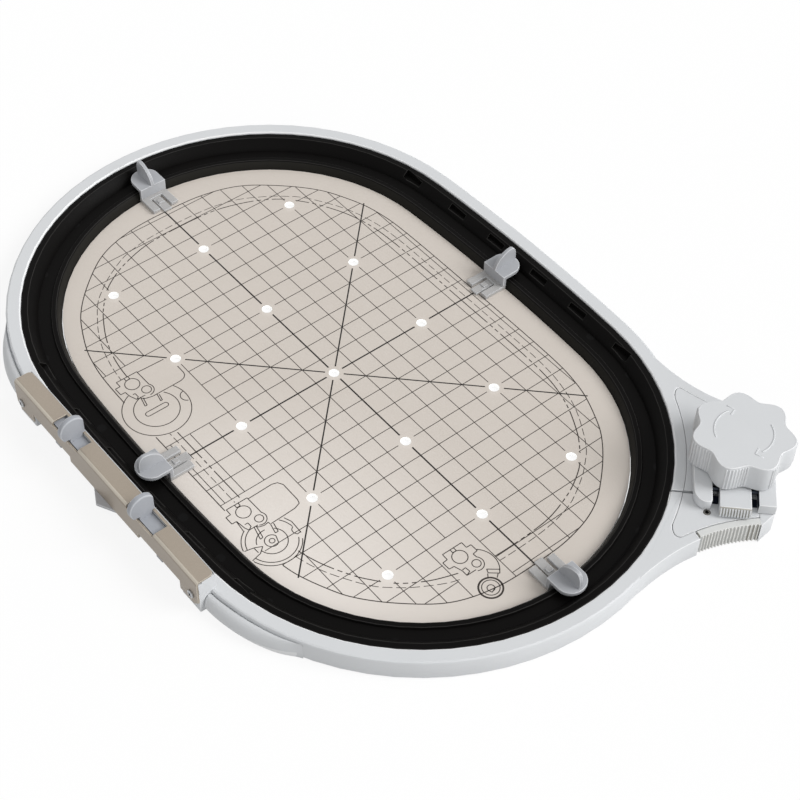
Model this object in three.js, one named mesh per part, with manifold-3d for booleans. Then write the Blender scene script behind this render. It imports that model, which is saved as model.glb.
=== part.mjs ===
// Machine embroidery hoop: a split outer ring with a coupling tray and a twist lock,
// an inner ring, and a template held by four clips.
// Millimetres, +Z up, +X along the hoop, +Y away from the coupling, standing on z = 0.

import * as THREE from 'three';
import { mergeVertices } from 'three/addons/utils/BufferGeometryUtils.js';
import Module from 'manifold-3d';

const wasm = await Module();
wasm.setup();

// Opening of the inner ring, a four-arc oval
const openHalfLength = 147.8;
const openHalfWidth = 94.7;
const openSideRise = 1.6;

// Inner ring section
const innerRingWidth = 15.4;
const innerRingHeight = 10.3;
const lipWidth = 2.5;
const lipHeight = 6.3;
const lipDraft = 0.5;
const footDraft = 1.6;
const footHeight = 2.5;
const channelFloor = 5.2;
const rimWidth = 2.8;
const rimSlopeRun = 3.3;
const rimSlopeDrop = 3.4;
const rimFootRun = 0.8;
const windowLength = 10.2;
const windowSill = 2.1;
const windowDepth = 0.85;
const windowPlaces = [14.9, 41.8, 72.6];

// Outer ring section
const clampGap = 0.3;
const outerRingWidth = 6.5;
const ringHeight = 11;
const edgeBreak = 0.9;
const seatGap = 0.1;
const turnedGap = 0.3;

// Template
const templateThickness = 2;
const templateLift = 0.3;
const templateGap = 0.4;
const holePitch = 50;
const holeDiameter = 4.6;
const holeColumns = 5;
const holeRows = 3;
const holeShift = -1.8;

// Template clips
const clipWidth = 13.8;
const clipBaseLength = 12;
const clipBaseThickness = 2;
const clipWall = 1.8;
const clipGap = 0.3;
const clipTabReach = 9.6;
const clipTabLift = 1.8;
const clipTabThickness = 2;
const clipFinHeight = 8.3;
const clipFinThickness = 1.8;
const clipSlotWidth = 6.4;
const clipTongueWidth = 4.2;
const clipTongueThickness = 1.2;
const clipPegSize = 2.8;
const clipPegInset = 9.1;
const clipPegGap = 0.2;

// Coupling tray and cover
const couplingHalfLength = 67.6;
const couplingReach = 4.1;
const couplingTop = 20;
const trayInset = 4.7;
const trayWall = 1.4;
const trayRebate = 0.35;
const trayFloorTop = 12;
const trayFloorThickness = 3;
const trayEndWall = 4.6;
const trayFoot = 0.5;
const sheetThickness = 0.8;
const bendRadius = 1.8;
const endTabLength = 12.6;
const endTabLow = 4;
const endTabCorner = 3;
const coverStepLow = 9;
const coverMidLow = 5.8;
const coverMidHalf = 25.5;
const coverScrewInset = 4.4;
const coverScrewHeight = 9.2;
const screwHeadRadius = 1.9;
const screwHeadHeight = 0.8;
const screwShankRadius = 1.1;
const screwLength = 6;
const screwGap = 0.15;

// Latch slides
const latchSlotInner = 18;
const latchSlotLength = 19.3;
const latchSlotDrop = 1.9;
const latchSlotStrip = 1.1;
const latchTravel = 4;
const latchBarInner = 12;
const latchBarOuter = 44;
const latchGap = 0.3;
const paddleInner = 24.4;
const paddleThickness = 2.6;
const paddleRadius = 6.2;
const paddleRise = 4.4;
const paddleSetback = 3.2;
const paddleBack = 5;
const tongueOuter = 40;
const tongueLength = 4;
const tongueThickness = 2.2;
const tongueLow = 3.5;
const latchSpringRadius = 2.2;
const latchSpringWire = 0.4;
const latchSpringTurns = 8;

// Coupling nose and the wings beside the tray
const noseHalfWidth = 13.5;
const noseReach = 3.9;
const noseDepth = 7;
const noseLow = 4.4;
const noseThickness = 1.3;
const wingLength = 41.4;
const wingInset = 2.7;
const wingEdge = 1;
const wingSlope = 5;

// Lock, in its own frame: u outward from the centre of the end arc, v along the ring
const lockAngle = Math.PI / 4;
const knobReach = 19.1;
const knobLobes = 7;
const knobRestTurn = 4 * Math.PI / 180;
const knobTipRadius = 21.9;
const knobValleyRadius = 18.4;
const knobBottom = 16.8;
const knobHeight = 14;
const knobEdge = 0.9;
const neckLength = 34.2;
const neckShift = -1.6;
const neckTipHalf = 24.2;
const neckSideHalf = 31.1;
const neckChamfer = 5.6;
const neckRootDepth = 1;
const neckRootAngle = 33.5 * Math.PI / 180;
const neckLeave = 16.3;
const neckLeaveAngle = 50 * Math.PI / 180;
const neckArrive = 25.3;
const neckArriveAngle = 11 * Math.PI / 180;
const slitOffset = -18.5;
const slitWidth = 1;
const neckCoverThickness = 1.1;
const neckCoverInset = 4.6;
const neckCoverShare = 0.45;
const neckCoverGap = 0.25;
const neckCoverLap = 1.5;
const neckCoverHalf = 36.8;
const neckCoverEnd = 6.4;
const neckCoverCorner = 3.5;
const pocketFloor = 2;
const padDepth = 2.9;
const padInset = 1.2;
const padRibs = 17;
const padRibHeight = 0.7;
const padShare = 0.61;

// Draw pinion and rack
const pinionTeeth = 10;
const toothModule = 0.8;
const toothShare = 0.4;
const toothAddendum = 0.65;
const toothDedendum = 1;
const toothSlope = 0.42;
const shaftRadius = 2.4;
const shaftInKnob = 10;
const bearingGap = 0.08;
const rackTravel = 4;
const rackThickness = 5;
const rackHeight = 6.4;
const rackTeeth = 11;
const rackFootLength = 4;
const rackFootStep = 3.4;
const rackShoulder = 2;

// Lock housing and release lever
const housingTop = 16.4;
const housingBack = 16;
const leverSlotInner = 8.1;
const leverSlotWidth = 18.9;
const leverSideGap = 3;
const leverSlotBack = -4;
const earFront = -26.6;
const pivotOffset = -17.5;
const pivotHeight = 13.6;
const pinRadius = 1.15;
const pinGap = 0.08;
const pinEnd = 5;
const leverNose = -30.2;
const leverTail = -5;
const leverSpringRadius = 1.65;
const leverSpringWire = 0.28;
const leverSpringTurns = 3.5;
const leverSpringRoom = 5;
const neckScrewRadius = 1.5;
const neckScrewInset = 6.5;
const neckScrewOffset = -28.2;

// Facets
const endSteps = 32;
const sideSteps = 8;
const roundSteps = 24;
const smallSteps = 16;
const springSteps = 8;
const springSides = 5;
const weldTolerance = 1e-4;

// Materials
const paleGrey = new THREE.MeshStandardMaterial({ color: 0xd6d8da, roughness: 0.5, metalness: 0 });
const black = new THREE.MeshStandardMaterial({ color: 0x151413, roughness: 0.55, metalness: 0 });
const clear = new THREE.MeshStandardMaterial({ color: 0xd1cac4, roughness: 0.3, metalness: 0 });
const midGrey = new THREE.MeshStandardMaterial({ color: 0xa8abaf, roughness: 0.45, metalness: 0 });
const taupe = new THREE.MeshStandardMaterial({ color: 0x9d9284, roughness: 0.45, metalness: 0.4 });
const steel = new THREE.MeshStandardMaterial({ color: 0xb4b6b8, roughness: 0.35, metalness: 1 });
const cream = new THREE.MeshStandardMaterial({ color: 0xd9d7cf, roughness: 0.6, metalness: 0 });
const white = new THREE.MeshStandardMaterial({ color: 0xe2e2de, roughness: 0.5, metalness: 0 });

// Values that follow from the driving dimensions
const openEndRadius = openHalfWidth - openSideRise;
const endCentre = openHalfLength - openEndRadius;
const sideRadius = (endCentre ** 2 + openHalfWidth ** 2 - openEndRadius ** 2) / (2 * openSideRise);
const endHalfAngle = Math.PI / 2 - Math.atan2(endCentre, sideRadius - openHalfWidth);
const outerInside = innerRingWidth + clampGap;
const outerOutside = outerInside + outerRingWidth;
const ringSide = openHalfWidth + outerOutside;
const ringEndInside = openEndRadius + outerInside;
const ringEndRadius = openEndRadius + outerOutside;
const templateTop = templateLift + templateThickness;
const coverFront = -(ringSide + couplingReach);
const coverInside = coverFront + sheetThickness;
const trayFront = coverInside + seatGap;
const trayBack = -(ringSide - trayInset);
const coverBack = trayBack - trayRebate;
const slideBack = trayBack - trayWall - latchGap;
const slideFront = trayFront + latchGap;
const underSheet = couplingTop - sheetThickness - seatGap;
const slideTop = couplingTop - bendRadius;
const slideBottom = trayFloorTop + seatGap;
const knobCentre = ringEndRadius + knobReach;
const neckTip = ringEndRadius + neckLength;
const pinionRadius = pinionTeeth * toothModule / 2;
const toothPitch = Math.PI * toothModule;
const rackPitchLine = knobCentre - pinionRadius;
const rackBack = rackPitchLine - toothDedendum - rackThickness;
const rackBottom = pocketFloor + turnedGap;
const coverSeat = ringHeight - neckCoverThickness;
const leverSlotLeft = ringEndRadius + leverSlotInner;
const leverSlotRight = leverSlotLeft + leverSlotWidth;
const lockFrame = new THREE.Matrix4().makeRotationZ(lockAngle).setPosition(endCentre, 0, 0);
const alongX = new THREE.Matrix4().set(0, 0, 1, 0, 1, 0, 0, 0, 0, 1, 0, 0, 0, 0, 0, 1);
const alongY = new THREE.Matrix4().set(1, 0, 0, 0, 0, 0, -1, 0, 0, 1, 0, 0, 0, 0, 0, 1);

// Shape helpers

function toSolid(geometry) {
  const bare = geometry.clone();
  bare.deleteAttribute('normal');
  bare.deleteAttribute('uv');
  const welded = mergeVertices(bare, weldTolerance);
  return new wasm.Manifold(new wasm.Mesh({
    numProp: 3,
    vertProperties: new Float32Array(welded.attributes.position.array),
    triVerts: new Uint32Array(welded.index.array),
  }));
}

function toGeometry(solid) {
  const { vertProperties, triVerts } = solid.getMesh();
  const geometry = new THREE.BufferGeometry();
  geometry.setAttribute('position', new THREE.BufferAttribute(vertProperties, 3));
  geometry.setIndex(new THREE.BufferAttribute(triVerts, 1));
  geometry.computeVertexNormals();
  return geometry;
}

function joined(...solids) {
  return solids.reduce((sum, next) => sum.add(next));
}

function without(solid, ...cutters) {
  return cutters.reduce((rest, cutter) => rest.subtract(cutter), solid);
}

function boxGeometry(x0, x1, y0, y1, z0, z1) {
  const geometry = new THREE.BoxGeometry(x1 - x0, y1 - y0, z1 - z0);
  return geometry.translate((x0 + x1) / 2, (y0 + y1) / 2, (z0 + z1) / 2);
}

function box(x0, x1, y0, y1, z0, z1) {
  return toSolid(boxGeometry(x0, x1, y0, y1, z0, z1));
}

function prismGeometry(shape, z0, z1, curveSegments = roundSteps) {
  const geometry = new THREE.ExtrudeGeometry(shape, { depth: z1 - z0, bevelEnabled: false, curveSegments });
  return geometry.translate(0, 0, z0);
}

function prism(shape, z0, z1, curveSegments = roundSteps) {
  return toSolid(prismGeometry(shape, z0, z1, curveSegments));
}

// The shape's own axes become y and z, and its depth runs along x
function prismAlongX(shape, x0, x1, curveSegments = smallSteps) {
  return toSolid(prismGeometry(shape, x0, x1, curveSegments).applyMatrix4(alongX));
}

// The shape's own axes become x and z, and its depth runs along y
function prismAlongY(shape, y0, y1, curveSegments = smallSteps) {
  return toSolid(prismGeometry(shape, -y1, -y0, curveSegments).applyMatrix4(alongY));
}

function rodGeometry(radius, z0, z1, x = 0, y = 0, steps = roundSteps) {
  const geometry = new THREE.CylinderGeometry(radius, radius, z1 - z0, steps);
  return geometry.rotateX(Math.PI / 2).translate(x, y, (z0 + z1) / 2);
}

function rod(radius, z0, z1, x = 0, y = 0, steps = roundSteps) {
  return toSolid(rodGeometry(radius, z0, z1, x, y, steps));
}

function rodAlongX(radius, x0, x1, y, z, steps = smallSteps) {
  return toSolid(rodGeometry(radius, x0, x1, y, z, steps).applyMatrix4(alongX));
}

function rodAlongY(radius, y0, y1, x, z, steps = smallSteps) {
  return toSolid(rodGeometry(radius, -y1, -y0, x, z, steps).applyMatrix4(alongY));
}

function polygon(points) {
  return new THREE.Shape(points.map(([x, y]) => new THREE.Vector2(x, y)));
}

function inLock(geometry) {
  return toSolid(geometry.applyMatrix4(lockFrame));
}

function coil(radius, wire, turns, length) {
  class Helix extends THREE.Curve {
    getPoint(t, target = new THREE.Vector3()) {
      const angle = t * turns * 2 * Math.PI;
      return target.set((t - 0.5) * length, radius * Math.cos(angle), radius * Math.sin(angle));
    }
  }
  const section = new THREE.Shape();
  for (let i = 0; i < springSides; i++) {
    const angle = i / springSides * 2 * Math.PI;
    const x = wire * Math.cos(angle);
    const y = wire * Math.sin(angle);
    if (i === 0) section.moveTo(x, y);
    else section.lineTo(x, y);
  }
  return new THREE.ExtrudeGeometry(section, {
    steps: turns * springSteps,
    extrudePath: new Helix(),
    bevelEnabled: false,
  });
}

// Oval rings

function ovalStations() {
  const stations = [];
  function arc(x, y, radius, from, to, steps) {
    for (let i = 0; i < steps; i++) {
      const angle = from + (to - from) * i / steps;
      const nx = Math.cos(angle);
      const ny = Math.sin(angle);
      stations.push({ x: x + radius * nx, y: y + radius * ny, nx, ny });
    }
  }
  const sideCentre = sideRadius - openHalfWidth;
  arc(endCentre, 0, openEndRadius, -endHalfAngle, endHalfAngle, endSteps);
  arc(0, -sideCentre, sideRadius, endHalfAngle, Math.PI - endHalfAngle, sideSteps);
  arc(-endCentre, 0, openEndRadius, Math.PI - endHalfAngle, Math.PI + endHalfAngle, endSteps);
  arc(0, sideCentre, sideRadius, Math.PI + endHalfAngle, 2 * Math.PI - endHalfAngle, sideSteps);
  return stations;
}

// A closed section, given as offset from the opening and height, carried round the oval
function sweptRing(section) {
  const stations = ovalStations();
  const positions = [];
  const index = [];
  const width = section.length;
  stations.forEach(({ x, y, nx, ny }, i) => {
    const next = (i + 1) % stations.length;
    section.forEach(([offset, z], j) => {
      const up = (j + 1) % width;
      positions.push(x + nx * offset, y + ny * offset, z);
      index.push(i * width + j, next * width + j, next * width + up);
      index.push(i * width + j, next * width + up, i * width + up);
    });
  });
  const geometry = new THREE.BufferGeometry();
  geometry.setAttribute('position', new THREE.Float32BufferAttribute(positions, 3));
  geometry.setIndex(index);
  return toSolid(geometry);
}

function ovalShape(offset) {
  const shape = new THREE.Shape();
  const end = openEndRadius + offset;
  const side = sideRadius + offset;
  const sideCentre = sideRadius - openHalfWidth;
  shape.absarc(endCentre, 0, end, -endHalfAngle, endHalfAngle);
  shape.absarc(0, -sideCentre, side, endHalfAngle, Math.PI - endHalfAngle);
  shape.absarc(-endCentre, 0, end, Math.PI - endHalfAngle, Math.PI + endHalfAngle);
  shape.absarc(0, sideCentre, side, Math.PI + endHalfAngle, 2 * Math.PI - endHalfAngle);
  return shape;
}

// Height of the side of the oval above its chord end, at a distance x from the middle
function sideSag(offset, x) {
  const radius = sideRadius + offset;
  return radius - Math.sqrt(radius ** 2 - x ** 2);
}

function innerRing() {
  const rimInside = innerRingWidth - rimWidth;
  const slopeFoot = rimInside - rimSlopeRun;
  const chamfer = edgeBreak / 2;
  const ring = sweptRing([
    [-footDraft, 0],
    [innerRingWidth - chamfer, 0],
    [innerRingWidth, chamfer],
    [innerRingWidth, innerRingHeight],
    [rimInside, innerRingHeight],
    [slopeFoot, innerRingHeight - rimSlopeDrop],
    [slopeFoot - rimFootRun, channelFloor],
    [lipWidth + lipDraft, channelFloor],
    [lipWidth, lipHeight],
    [chamfer, lipHeight],
    [0, lipHeight - chamfer],
    [-footDraft, footHeight],
  ]);
  const cutters = [];
  for (const place of windowPlaces) {
    const back = openHalfWidth + rimInside - windowDepth - sideSag(rimInside, place);
    const [left, right] = [place - windowLength / 2, place + windowLength / 2];
    const front = back - rimSlopeRun;
    const sill = channelFloor + windowSill;
    cutters.push(box(left, right, front, back, sill, innerRingHeight));
    cutters.push(box(-right, -left, front, back, sill, innerRingHeight));
    cutters.push(box(left, right, -back, -front, sill, innerRingHeight));
    cutters.push(box(-right, -left, -back, -front, sill, innerRingHeight));
  }
  return without(ring, ...cutters);
}

// Outer ring with its tray, wings and lock neck

function trayParts() {
  const half = couplingHalfLength;
  const wallFoot = ringHeight - trayFloorThickness;
  const floorLow = trayFloorTop - trayFloorThickness;
  const backWall = box(-half, half, trayBack - trayWall, trayBack, wallFoot, underSheet);
  const rebate = box(-half, half, coverBack + seatGap, trayBack, wallFoot, couplingTop);
  const floor = box(-half, half, trayFront, trayBack, floorLow, trayFloorTop);
  const core = box(-coverMidHalf, coverMidHalf, trayFront, trayBack, noseTop() + seatGap, trayFloorTop);
  const parts = [backWall, rebate, floor, core];
  for (const side of [-1, 1]) {
    const wallSpan = [side * (half - trayEndWall), side * half].sort((a, b) => a - b);
    const footSpan = [side * (half - endTabLength), side * half].sort((a, b) => a - b);
    parts.push(box(...wallSpan, trayFront, trayBack, floorLow, slideTop));
    parts.push(box(...wallSpan, trayFront + bendRadius, trayBack, floorLow, underSheet));
    parts.push(box(...footSpan, trayFront, trayBack, trayFoot, trayFloorTop));
    parts.push(wing(side));
  }
  return parts;
}

function noseTop() {
  return noseLow + noseThickness;
}

// Fillet that runs out from the end of the tray to the ring, with a sloped top
function wing(side) {
  const start = couplingHalfLength - trayEndWall;
  const end = couplingHalfLength + wingLength;
  const endY = -Math.sqrt(ringEndRadius ** 2 - (end - endCentre) ** 2);
  const front = trayFront + wingInset;
  const edge = new THREE.QuadraticBezierCurve(
    new THREE.Vector2(side * couplingHalfLength, front),
    new THREE.Vector2(side * (couplingHalfLength + wingLength * 0.54), front + wingInset * 0.7),
    new THREE.Vector2(side * end, endY),
  );
  const plan = polygon([
    [side * start, trayBack],
    [side * start, front],
    ...edge.getPoints(smallSteps).map(({ x, y }) => [x, y]),
    [side * (end - outerRingWidth), endY + outerRingWidth],
  ]);
  const high = wingEdge + wingSlope;
  const crest = edge.getPoint(0.5);
  const turn = Math.atan2(endY - front, wingLength);
  const slope = new THREE.BoxGeometry(2 * wingLength, wingLength, wingLength);
  slope.translate(0, 0, wingLength / 2);
  slope.rotateX(Math.PI / 4).rotateZ(side * turn).translate(crest.x, crest.y, wingEdge);
  const inside = prism(ovalShape(outerInside + edgeBreak), -1, high + 1);
  return without(prism(plan, 0, high), toSolid(slope), inside);
}

function latchFloorSlots() {
  return [-1, 1].map((side) => {
    const from = side * (tongueOuter - tongueLength - latchTravel - latchGap);
    const to = side * (tongueOuter + latchGap);
    const front = slideFront - seatGap;
    return box(Math.min(from, to), Math.max(from, to), front, front + tongueThickness + 2 * latchGap,
      0, couplingTop);
  });
}

function coverScrewHoles(radius, y0, y1) {
  return [-1, 1].map((side) => (
    rodAlongY(radius, y0, y1, side * (couplingHalfLength - coverScrewInset), coverScrewHeight)));
}

// Side of the neck, from the outer wall of the ring to the chamfered tip, for side -1 or 1
function neckSide(side) {
  const root = ringEndRadius - neckRootDepth;
  const rootU = root * Math.cos(neckRootAngle);
  const rootV = root * Math.sin(neckRootAngle);
  const tip = neckTip - neckChamfer;
  const leaveU = rootU + neckLeave * Math.cos(neckLeaveAngle);
  const leaveV = rootV - neckLeave * Math.sin(neckLeaveAngle);
  const arriveU = tip - neckArrive * Math.cos(neckArriveAngle);
  const arriveV = neckSideHalf + neckArrive * Math.sin(neckArriveAngle);
  return new THREE.CubicBezierCurve(
    new THREE.Vector2(rootU, side * rootV + neckShift),
    new THREE.Vector2(leaveU, side * leaveV + neckShift),
    new THREE.Vector2(arriveU, side * arriveV + neckShift),
    new THREE.Vector2(tip, side * neckSideHalf + neckShift),
  );
}

function neckShape() {
  const near = neckSide(-1);
  const far = neckSide(1);
  const inner = ringEndRadius - outerRingWidth / 2;
  const shape = new THREE.Shape();
  shape.absarc(0, 0, inner, neckRootAngle, -neckRootAngle, true);
  shape.lineTo(near.v0.x, near.v0.y);
  shape.bezierCurveTo(near.v1.x, near.v1.y, near.v2.x, near.v2.y, near.v3.x, near.v3.y);
  shape.lineTo(neckTip, neckShift - neckTipHalf);
  shape.lineTo(neckTip, neckShift + neckTipHalf);
  shape.lineTo(far.v3.x, far.v3.y);
  shape.bezierCurveTo(far.v2.x, far.v2.y, far.v1.x, far.v1.y, far.v0.x, far.v0.y);
  shape.closePath();
  return shape;
}

// Points along a side of the neck, at a depth measured inward from it
function besideNeck(side, from, steps, depthAt) {
  const curve = neckSide(side);
  const points = [];
  for (let i = 0; i <= steps; i++) {
    const t = from + (1 - from) * i / steps;
    const point = curve.getPoint(t);
    const tangent = curve.getTangent(t);
    const depth = depthAt(i);
    points.push([point.x + side * tangent.y * depth, point.y - side * tangent.x * depth]);
  }
  return points;
}

// A strip along the near side of the neck, between two depths, with ribs on its outer face
function neckStrip(from, outerDepth, innerDepth, ribs, ribHeight) {
  const steps = Math.max(ribs * 4, smallSteps);
  const outer = besideNeck(-1, from, steps, (i) => outerDepth - (i % 4 > 1 ? ribHeight : 0));
  const inner = besideNeck(-1, from, steps, () => innerDepth);
  return polygon([...outer, ...inner.reverse()]);
}

// Flush cover on the far (1) or near (-1) side of the slit, grown by a clearance for its seat
function neckCoverShape(side, grow) {
  const arcRadius = ringEndRadius - neckCoverLap - grow;
  const slitEdge = slitOffset + side * (slitWidth / 2 + neckCoverGap - grow);
  const start = Math.asin(slitEdge / arcRadius);
  const corner = Math.asin((side * (neckCoverHalf + grow) + neckShift) / arcRadius);
  const arcEnd = corner - side * neckCoverCorner / arcRadius;
  const end = neckTip - neckCoverEnd + grow;
  const edge = besideNeck(side, neckCoverShare - grow / neckLength, smallSteps, () => neckCoverInset - grow);
  const shape = new THREE.Shape();
  shape.absarc(0, 0, arcRadius, start, arcEnd, side < 0);
  shape.bezierCurveTo(arcRadius * Math.cos(corner), arcRadius * Math.sin(corner), ...edge[0], ...edge[2]);
  for (const [x, y] of edge.slice(3)) shape.lineTo(x, y);
  shape.lineTo(end, edge[smallSteps][1]);
  shape.lineTo(end, slitEdge);
  shape.closePath();
  return shape;
}

function lockPockets() {
  const top = ringHeight + 1;
  const far = slitOffset;
  const front = rackPitchLine + toothAddendum + turnedGap;
  const stem = rackBack + rackThickness - rackFootStep;
  const footRoom = rackFootLength + rackTravel + 2 * turnedGap;
  const footEnd = rackFootStart() - turnedGap;
  return [
    boxGeometry(rackBack - turnedGap, front, far, rackEnd() + rackTravel + turnedGap, pocketFloor, top),
    boxGeometry(rackBack - turnedGap, stem + turnedGap, footEnd, far, pocketFloor, top),
    boxGeometry(rackBack - turnedGap, rackBack + rackThickness + turnedGap, footEnd, footEnd + footRoom,
      pocketFloor, top),
    rodGeometry(pinionRadius + toothAddendum + 2 * turnedGap, pocketFloor, top, knobCentre, 0),
    rodGeometry(shaftRadius + bearingGap, -1, top, knobCentre, 0),
    rodGeometry(screwShankRadius + screwGap, coverSeat - screwLength, top,
      ringEndRadius + neckScrewInset, neckScrewOffset, smallSteps),
  ].map(inLock);
}

function rackFootStart() {
  return slitOffset - slitWidth / 2 - rackShoulder - rackTravel - rackFootLength - turnedGap;
}

function rackEnd() {
  return toothPitch * rackTeeth / 2;
}

function outerRing() {
  const ring = sweptRing([
    [outerInside, 0],
    [outerOutside - edgeBreak, 0],
    [outerOutside, edgeBreak],
    [outerOutside, ringHeight - edgeBreak],
    [outerOutside - edgeBreak / 3, ringHeight - edgeBreak / 3],
    [outerOutside - edgeBreak, ringHeight],
    [outerInside + edgeBreak / 2, ringHeight],
    [outerInside, ringHeight - edgeBreak / 2],
  ]);
  const neck = inLock(prismGeometry(neckShape(), 0, ringHeight));
  const whole = joined(ring, ...trayParts(), neck);
  const slitReach = neckTip + 1;
  const slit = inLock(boxGeometry(ringEndInside - 3, slitReach, slitOffset - slitWidth / 2,
    slitOffset + slitWidth / 2, -1, ringHeight + 1));
  const seats = [-1, 1].map((side) => (
    inLock(prismGeometry(neckCoverShape(side, neckCoverGap), coverSeat - seatGap, ringHeight + 1))));
  const padSeatShape = neckStrip(padShare - 0.01, -padDepth * 2, padInset + padDepth + turnedGap, 0, 0);
  const padSeat = inLock(prismGeometry(padSeatShape, -1, ringHeight + 1));
  const screwEnd = coverInside + screwLength + 1;
  const screwHoles = coverScrewHoles(screwShankRadius + screwGap, coverInside, screwEnd);
  return without(whole, slit, ...seats, padSeat, ...screwHoles, ...latchFloorSlots(), ...lockPockets());
}

// Template and clips

function template() {
  const shape = ovalShape(-footDraft - templateGap);
  for (let column = 0; column < holeColumns; column++) {
    for (let row = 0; row < holeRows; row++) {
      const x = (column - (holeColumns - 1) / 2) * holePitch;
      const y = (row - (holeRows - 1) / 2) * holePitch + holeShift;
      const hole = new THREE.Path();
      hole.absarc(x, y, holeDiameter / 2, 0, 2 * Math.PI, true);
      shape.holes.push(new THREE.Path(hole.getPoints(smallSteps / 2)));
    }
  }
  const plate = prism(shape, templateLift, templateTop, smallSteps);
  const half = clipPegSize / 2 + clipPegGap;
  const cutters = clipPlaces().map(({ x, y, angle }) => {
    const pegX = x - clipPegInset * Math.cos(angle);
    const pegY = y - clipPegInset * Math.sin(angle);
    return box(pegX - half, pegX + half, pegY - half, pegY + half, -1, templateTop + 1);
  });
  return without(plate, ...cutters);
}

function clipPlaces() {
  return [
    { name: 'template_clip_lock_end', x: openHalfLength, y: 0, angle: 0 },
    { name: 'template_clip_far_side', x: 0, y: openHalfWidth, angle: Math.PI / 2 },
    { name: 'template_clip_plain_end', x: -openHalfLength, y: 0, angle: Math.PI },
    { name: 'template_clip_coupling_side', x: 0, y: -openHalfWidth, angle: -Math.PI / 2 },
  ];
}

// A clip in its own frame: x outward across the ring from its lip, y along it
function templateClip() {
  const half = clipWidth / 2;
  const foot = templateTop + seatGap;
  const tabLow = lipHeight + clipTabLift;
  const tabTop = tabLow + clipTabThickness;
  const wallOut = -footDraft - clipGap;
  const wallIn = wallOut - clipWall;
  const baseEnd = wallOut - clipBaseLength;
  const slotHalf = clipSlotWidth / 2;
  const tongueHalf = clipTongueWidth / 2;
  const pegHalf = clipPegSize / 2;
  const base = box(baseEnd, wallOut, -half, half, foot, foot + clipBaseThickness);
  const slot = box(baseEnd - 1, wallIn - clipWall, -slotHalf, slotHalf, foot - 1, tabTop);
  const wall = box(wallIn, wallOut, -half, half, foot, tabTop);
  const tongue = box(baseEnd - clipWall, wallIn, -tongueHalf, tongueHalf, foot, foot + clipTongueThickness);
  const peg = box(-clipPegInset - pegHalf, -clipPegInset + pegHalf, -pegHalf, pegHalf, templateLift,
    foot + clipTongueThickness + clipBaseThickness / 3);
  const rest = box(lipWidth - clipWall, lipWidth, -slotHalf, slotHalf, lipHeight + seatGap, tabTop);
  const tabShape = new THREE.Shape();
  const tabStraight = clipTabReach / 3;
  tabShape.moveTo(wallIn, -half);
  tabShape.lineTo(tabStraight, -half);
  tabShape.absellipse(tabStraight, 0, clipTabReach - tabStraight, half, -Math.PI / 2, Math.PI / 2);
  tabShape.lineTo(wallIn, half);
  const tab = prism(tabShape, tabLow, tabTop, smallSteps);
  const finTop = tabTop + clipFinHeight;
  const finEnd = clipTabReach - clipFinThickness / 2;
  const crest = clipTabReach * 0.62;
  const finShape = new THREE.Shape();
  finShape.moveTo(wallIn, tabLow);
  finShape.lineTo(wallIn, tabTop);
  finShape.bezierCurveTo(wallIn + 1, tabTop + clipFinHeight * 0.6, crest * 0.35, finTop, crest, finTop);
  finShape.bezierCurveTo(finEnd, finTop, finEnd + 0.5, tabTop + clipFinHeight * 0.4, finEnd, tabTop);
  finShape.lineTo(finEnd, tabLow);
  const fin = prismAlongY(finShape, -clipFinThickness / 2, clipFinThickness / 2, 8);
  return joined(without(base, slot), wall, tongue, peg, rest, tab, fin);
}

// Coupling cover, slides and nose

function couplingCover() {
  const half = couplingHalfLength;
  const top = couplingTop;
  const bend = coverFront + bendRadius;
  const profile = new THREE.Shape();
  profile.moveTo(coverBack, top - sheetThickness);
  profile.lineTo(coverBack, top);
  profile.lineTo(bend, top);
  profile.absarc(bend, top - bendRadius, bendRadius, Math.PI / 2, Math.PI);
  profile.lineTo(coverFront, endTabLow);
  profile.lineTo(coverInside, endTabLow);
  profile.lineTo(coverInside, top - bendRadius);
  profile.absarc(bend, top - bendRadius, bendRadius - sheetThickness, Math.PI, Math.PI / 2, true);
  profile.closePath();
  const sheet = prismAlongX(profile, -half, half, 6);
  const front = coverFront - 1;
  const behind = coverInside + 1;
  const cutters = [
    box(-coverMidHalf, coverMidHalf, front, behind, 0, coverMidLow),
    ...coverScrewHoles(screwShankRadius + screwGap, front, behind),
  ];
  for (const side of [-1, 1]) {
    const tabIn = half - endTabLength;
    const step = [side * coverMidHalf, side * tabIn].sort((a, b) => a - b);
    const slot = [side * latchSlotInner, side * (latchSlotInner + latchSlotLength)].sort((a, b) => a - b);
    cutters.push(box(...step, front, behind, 0, coverStepLow));
    cutters.push(box(...slot, front, coverBack - latchSlotStrip, top - latchSlotDrop, top + 1));
    const corner = polygon([
      [side * (half + 1), endTabLow - 1],
      [side * (half - endTabCorner - 1), endTabLow - 1],
      [side * (half + 1), endTabLow + endTabCorner + 1],
    ]);
    cutters.push(prismAlongY(corner, front, behind));
  }
  return without(sheet, ...cutters);
}

function coverScrew(side) {
  const x = side * (couplingHalfLength - coverScrewInset);
  const head = rodAlongY(screwHeadRadius, coverFront - seatGap - screwHeadHeight, coverFront - seatGap, x,
    coverScrewHeight);
  const end = coverInside + screwLength;
  const shank = rodAlongY(screwShankRadius, coverFront - seatGap, end, x, coverScrewHeight);
  return joined(head, shank);
}

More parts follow.
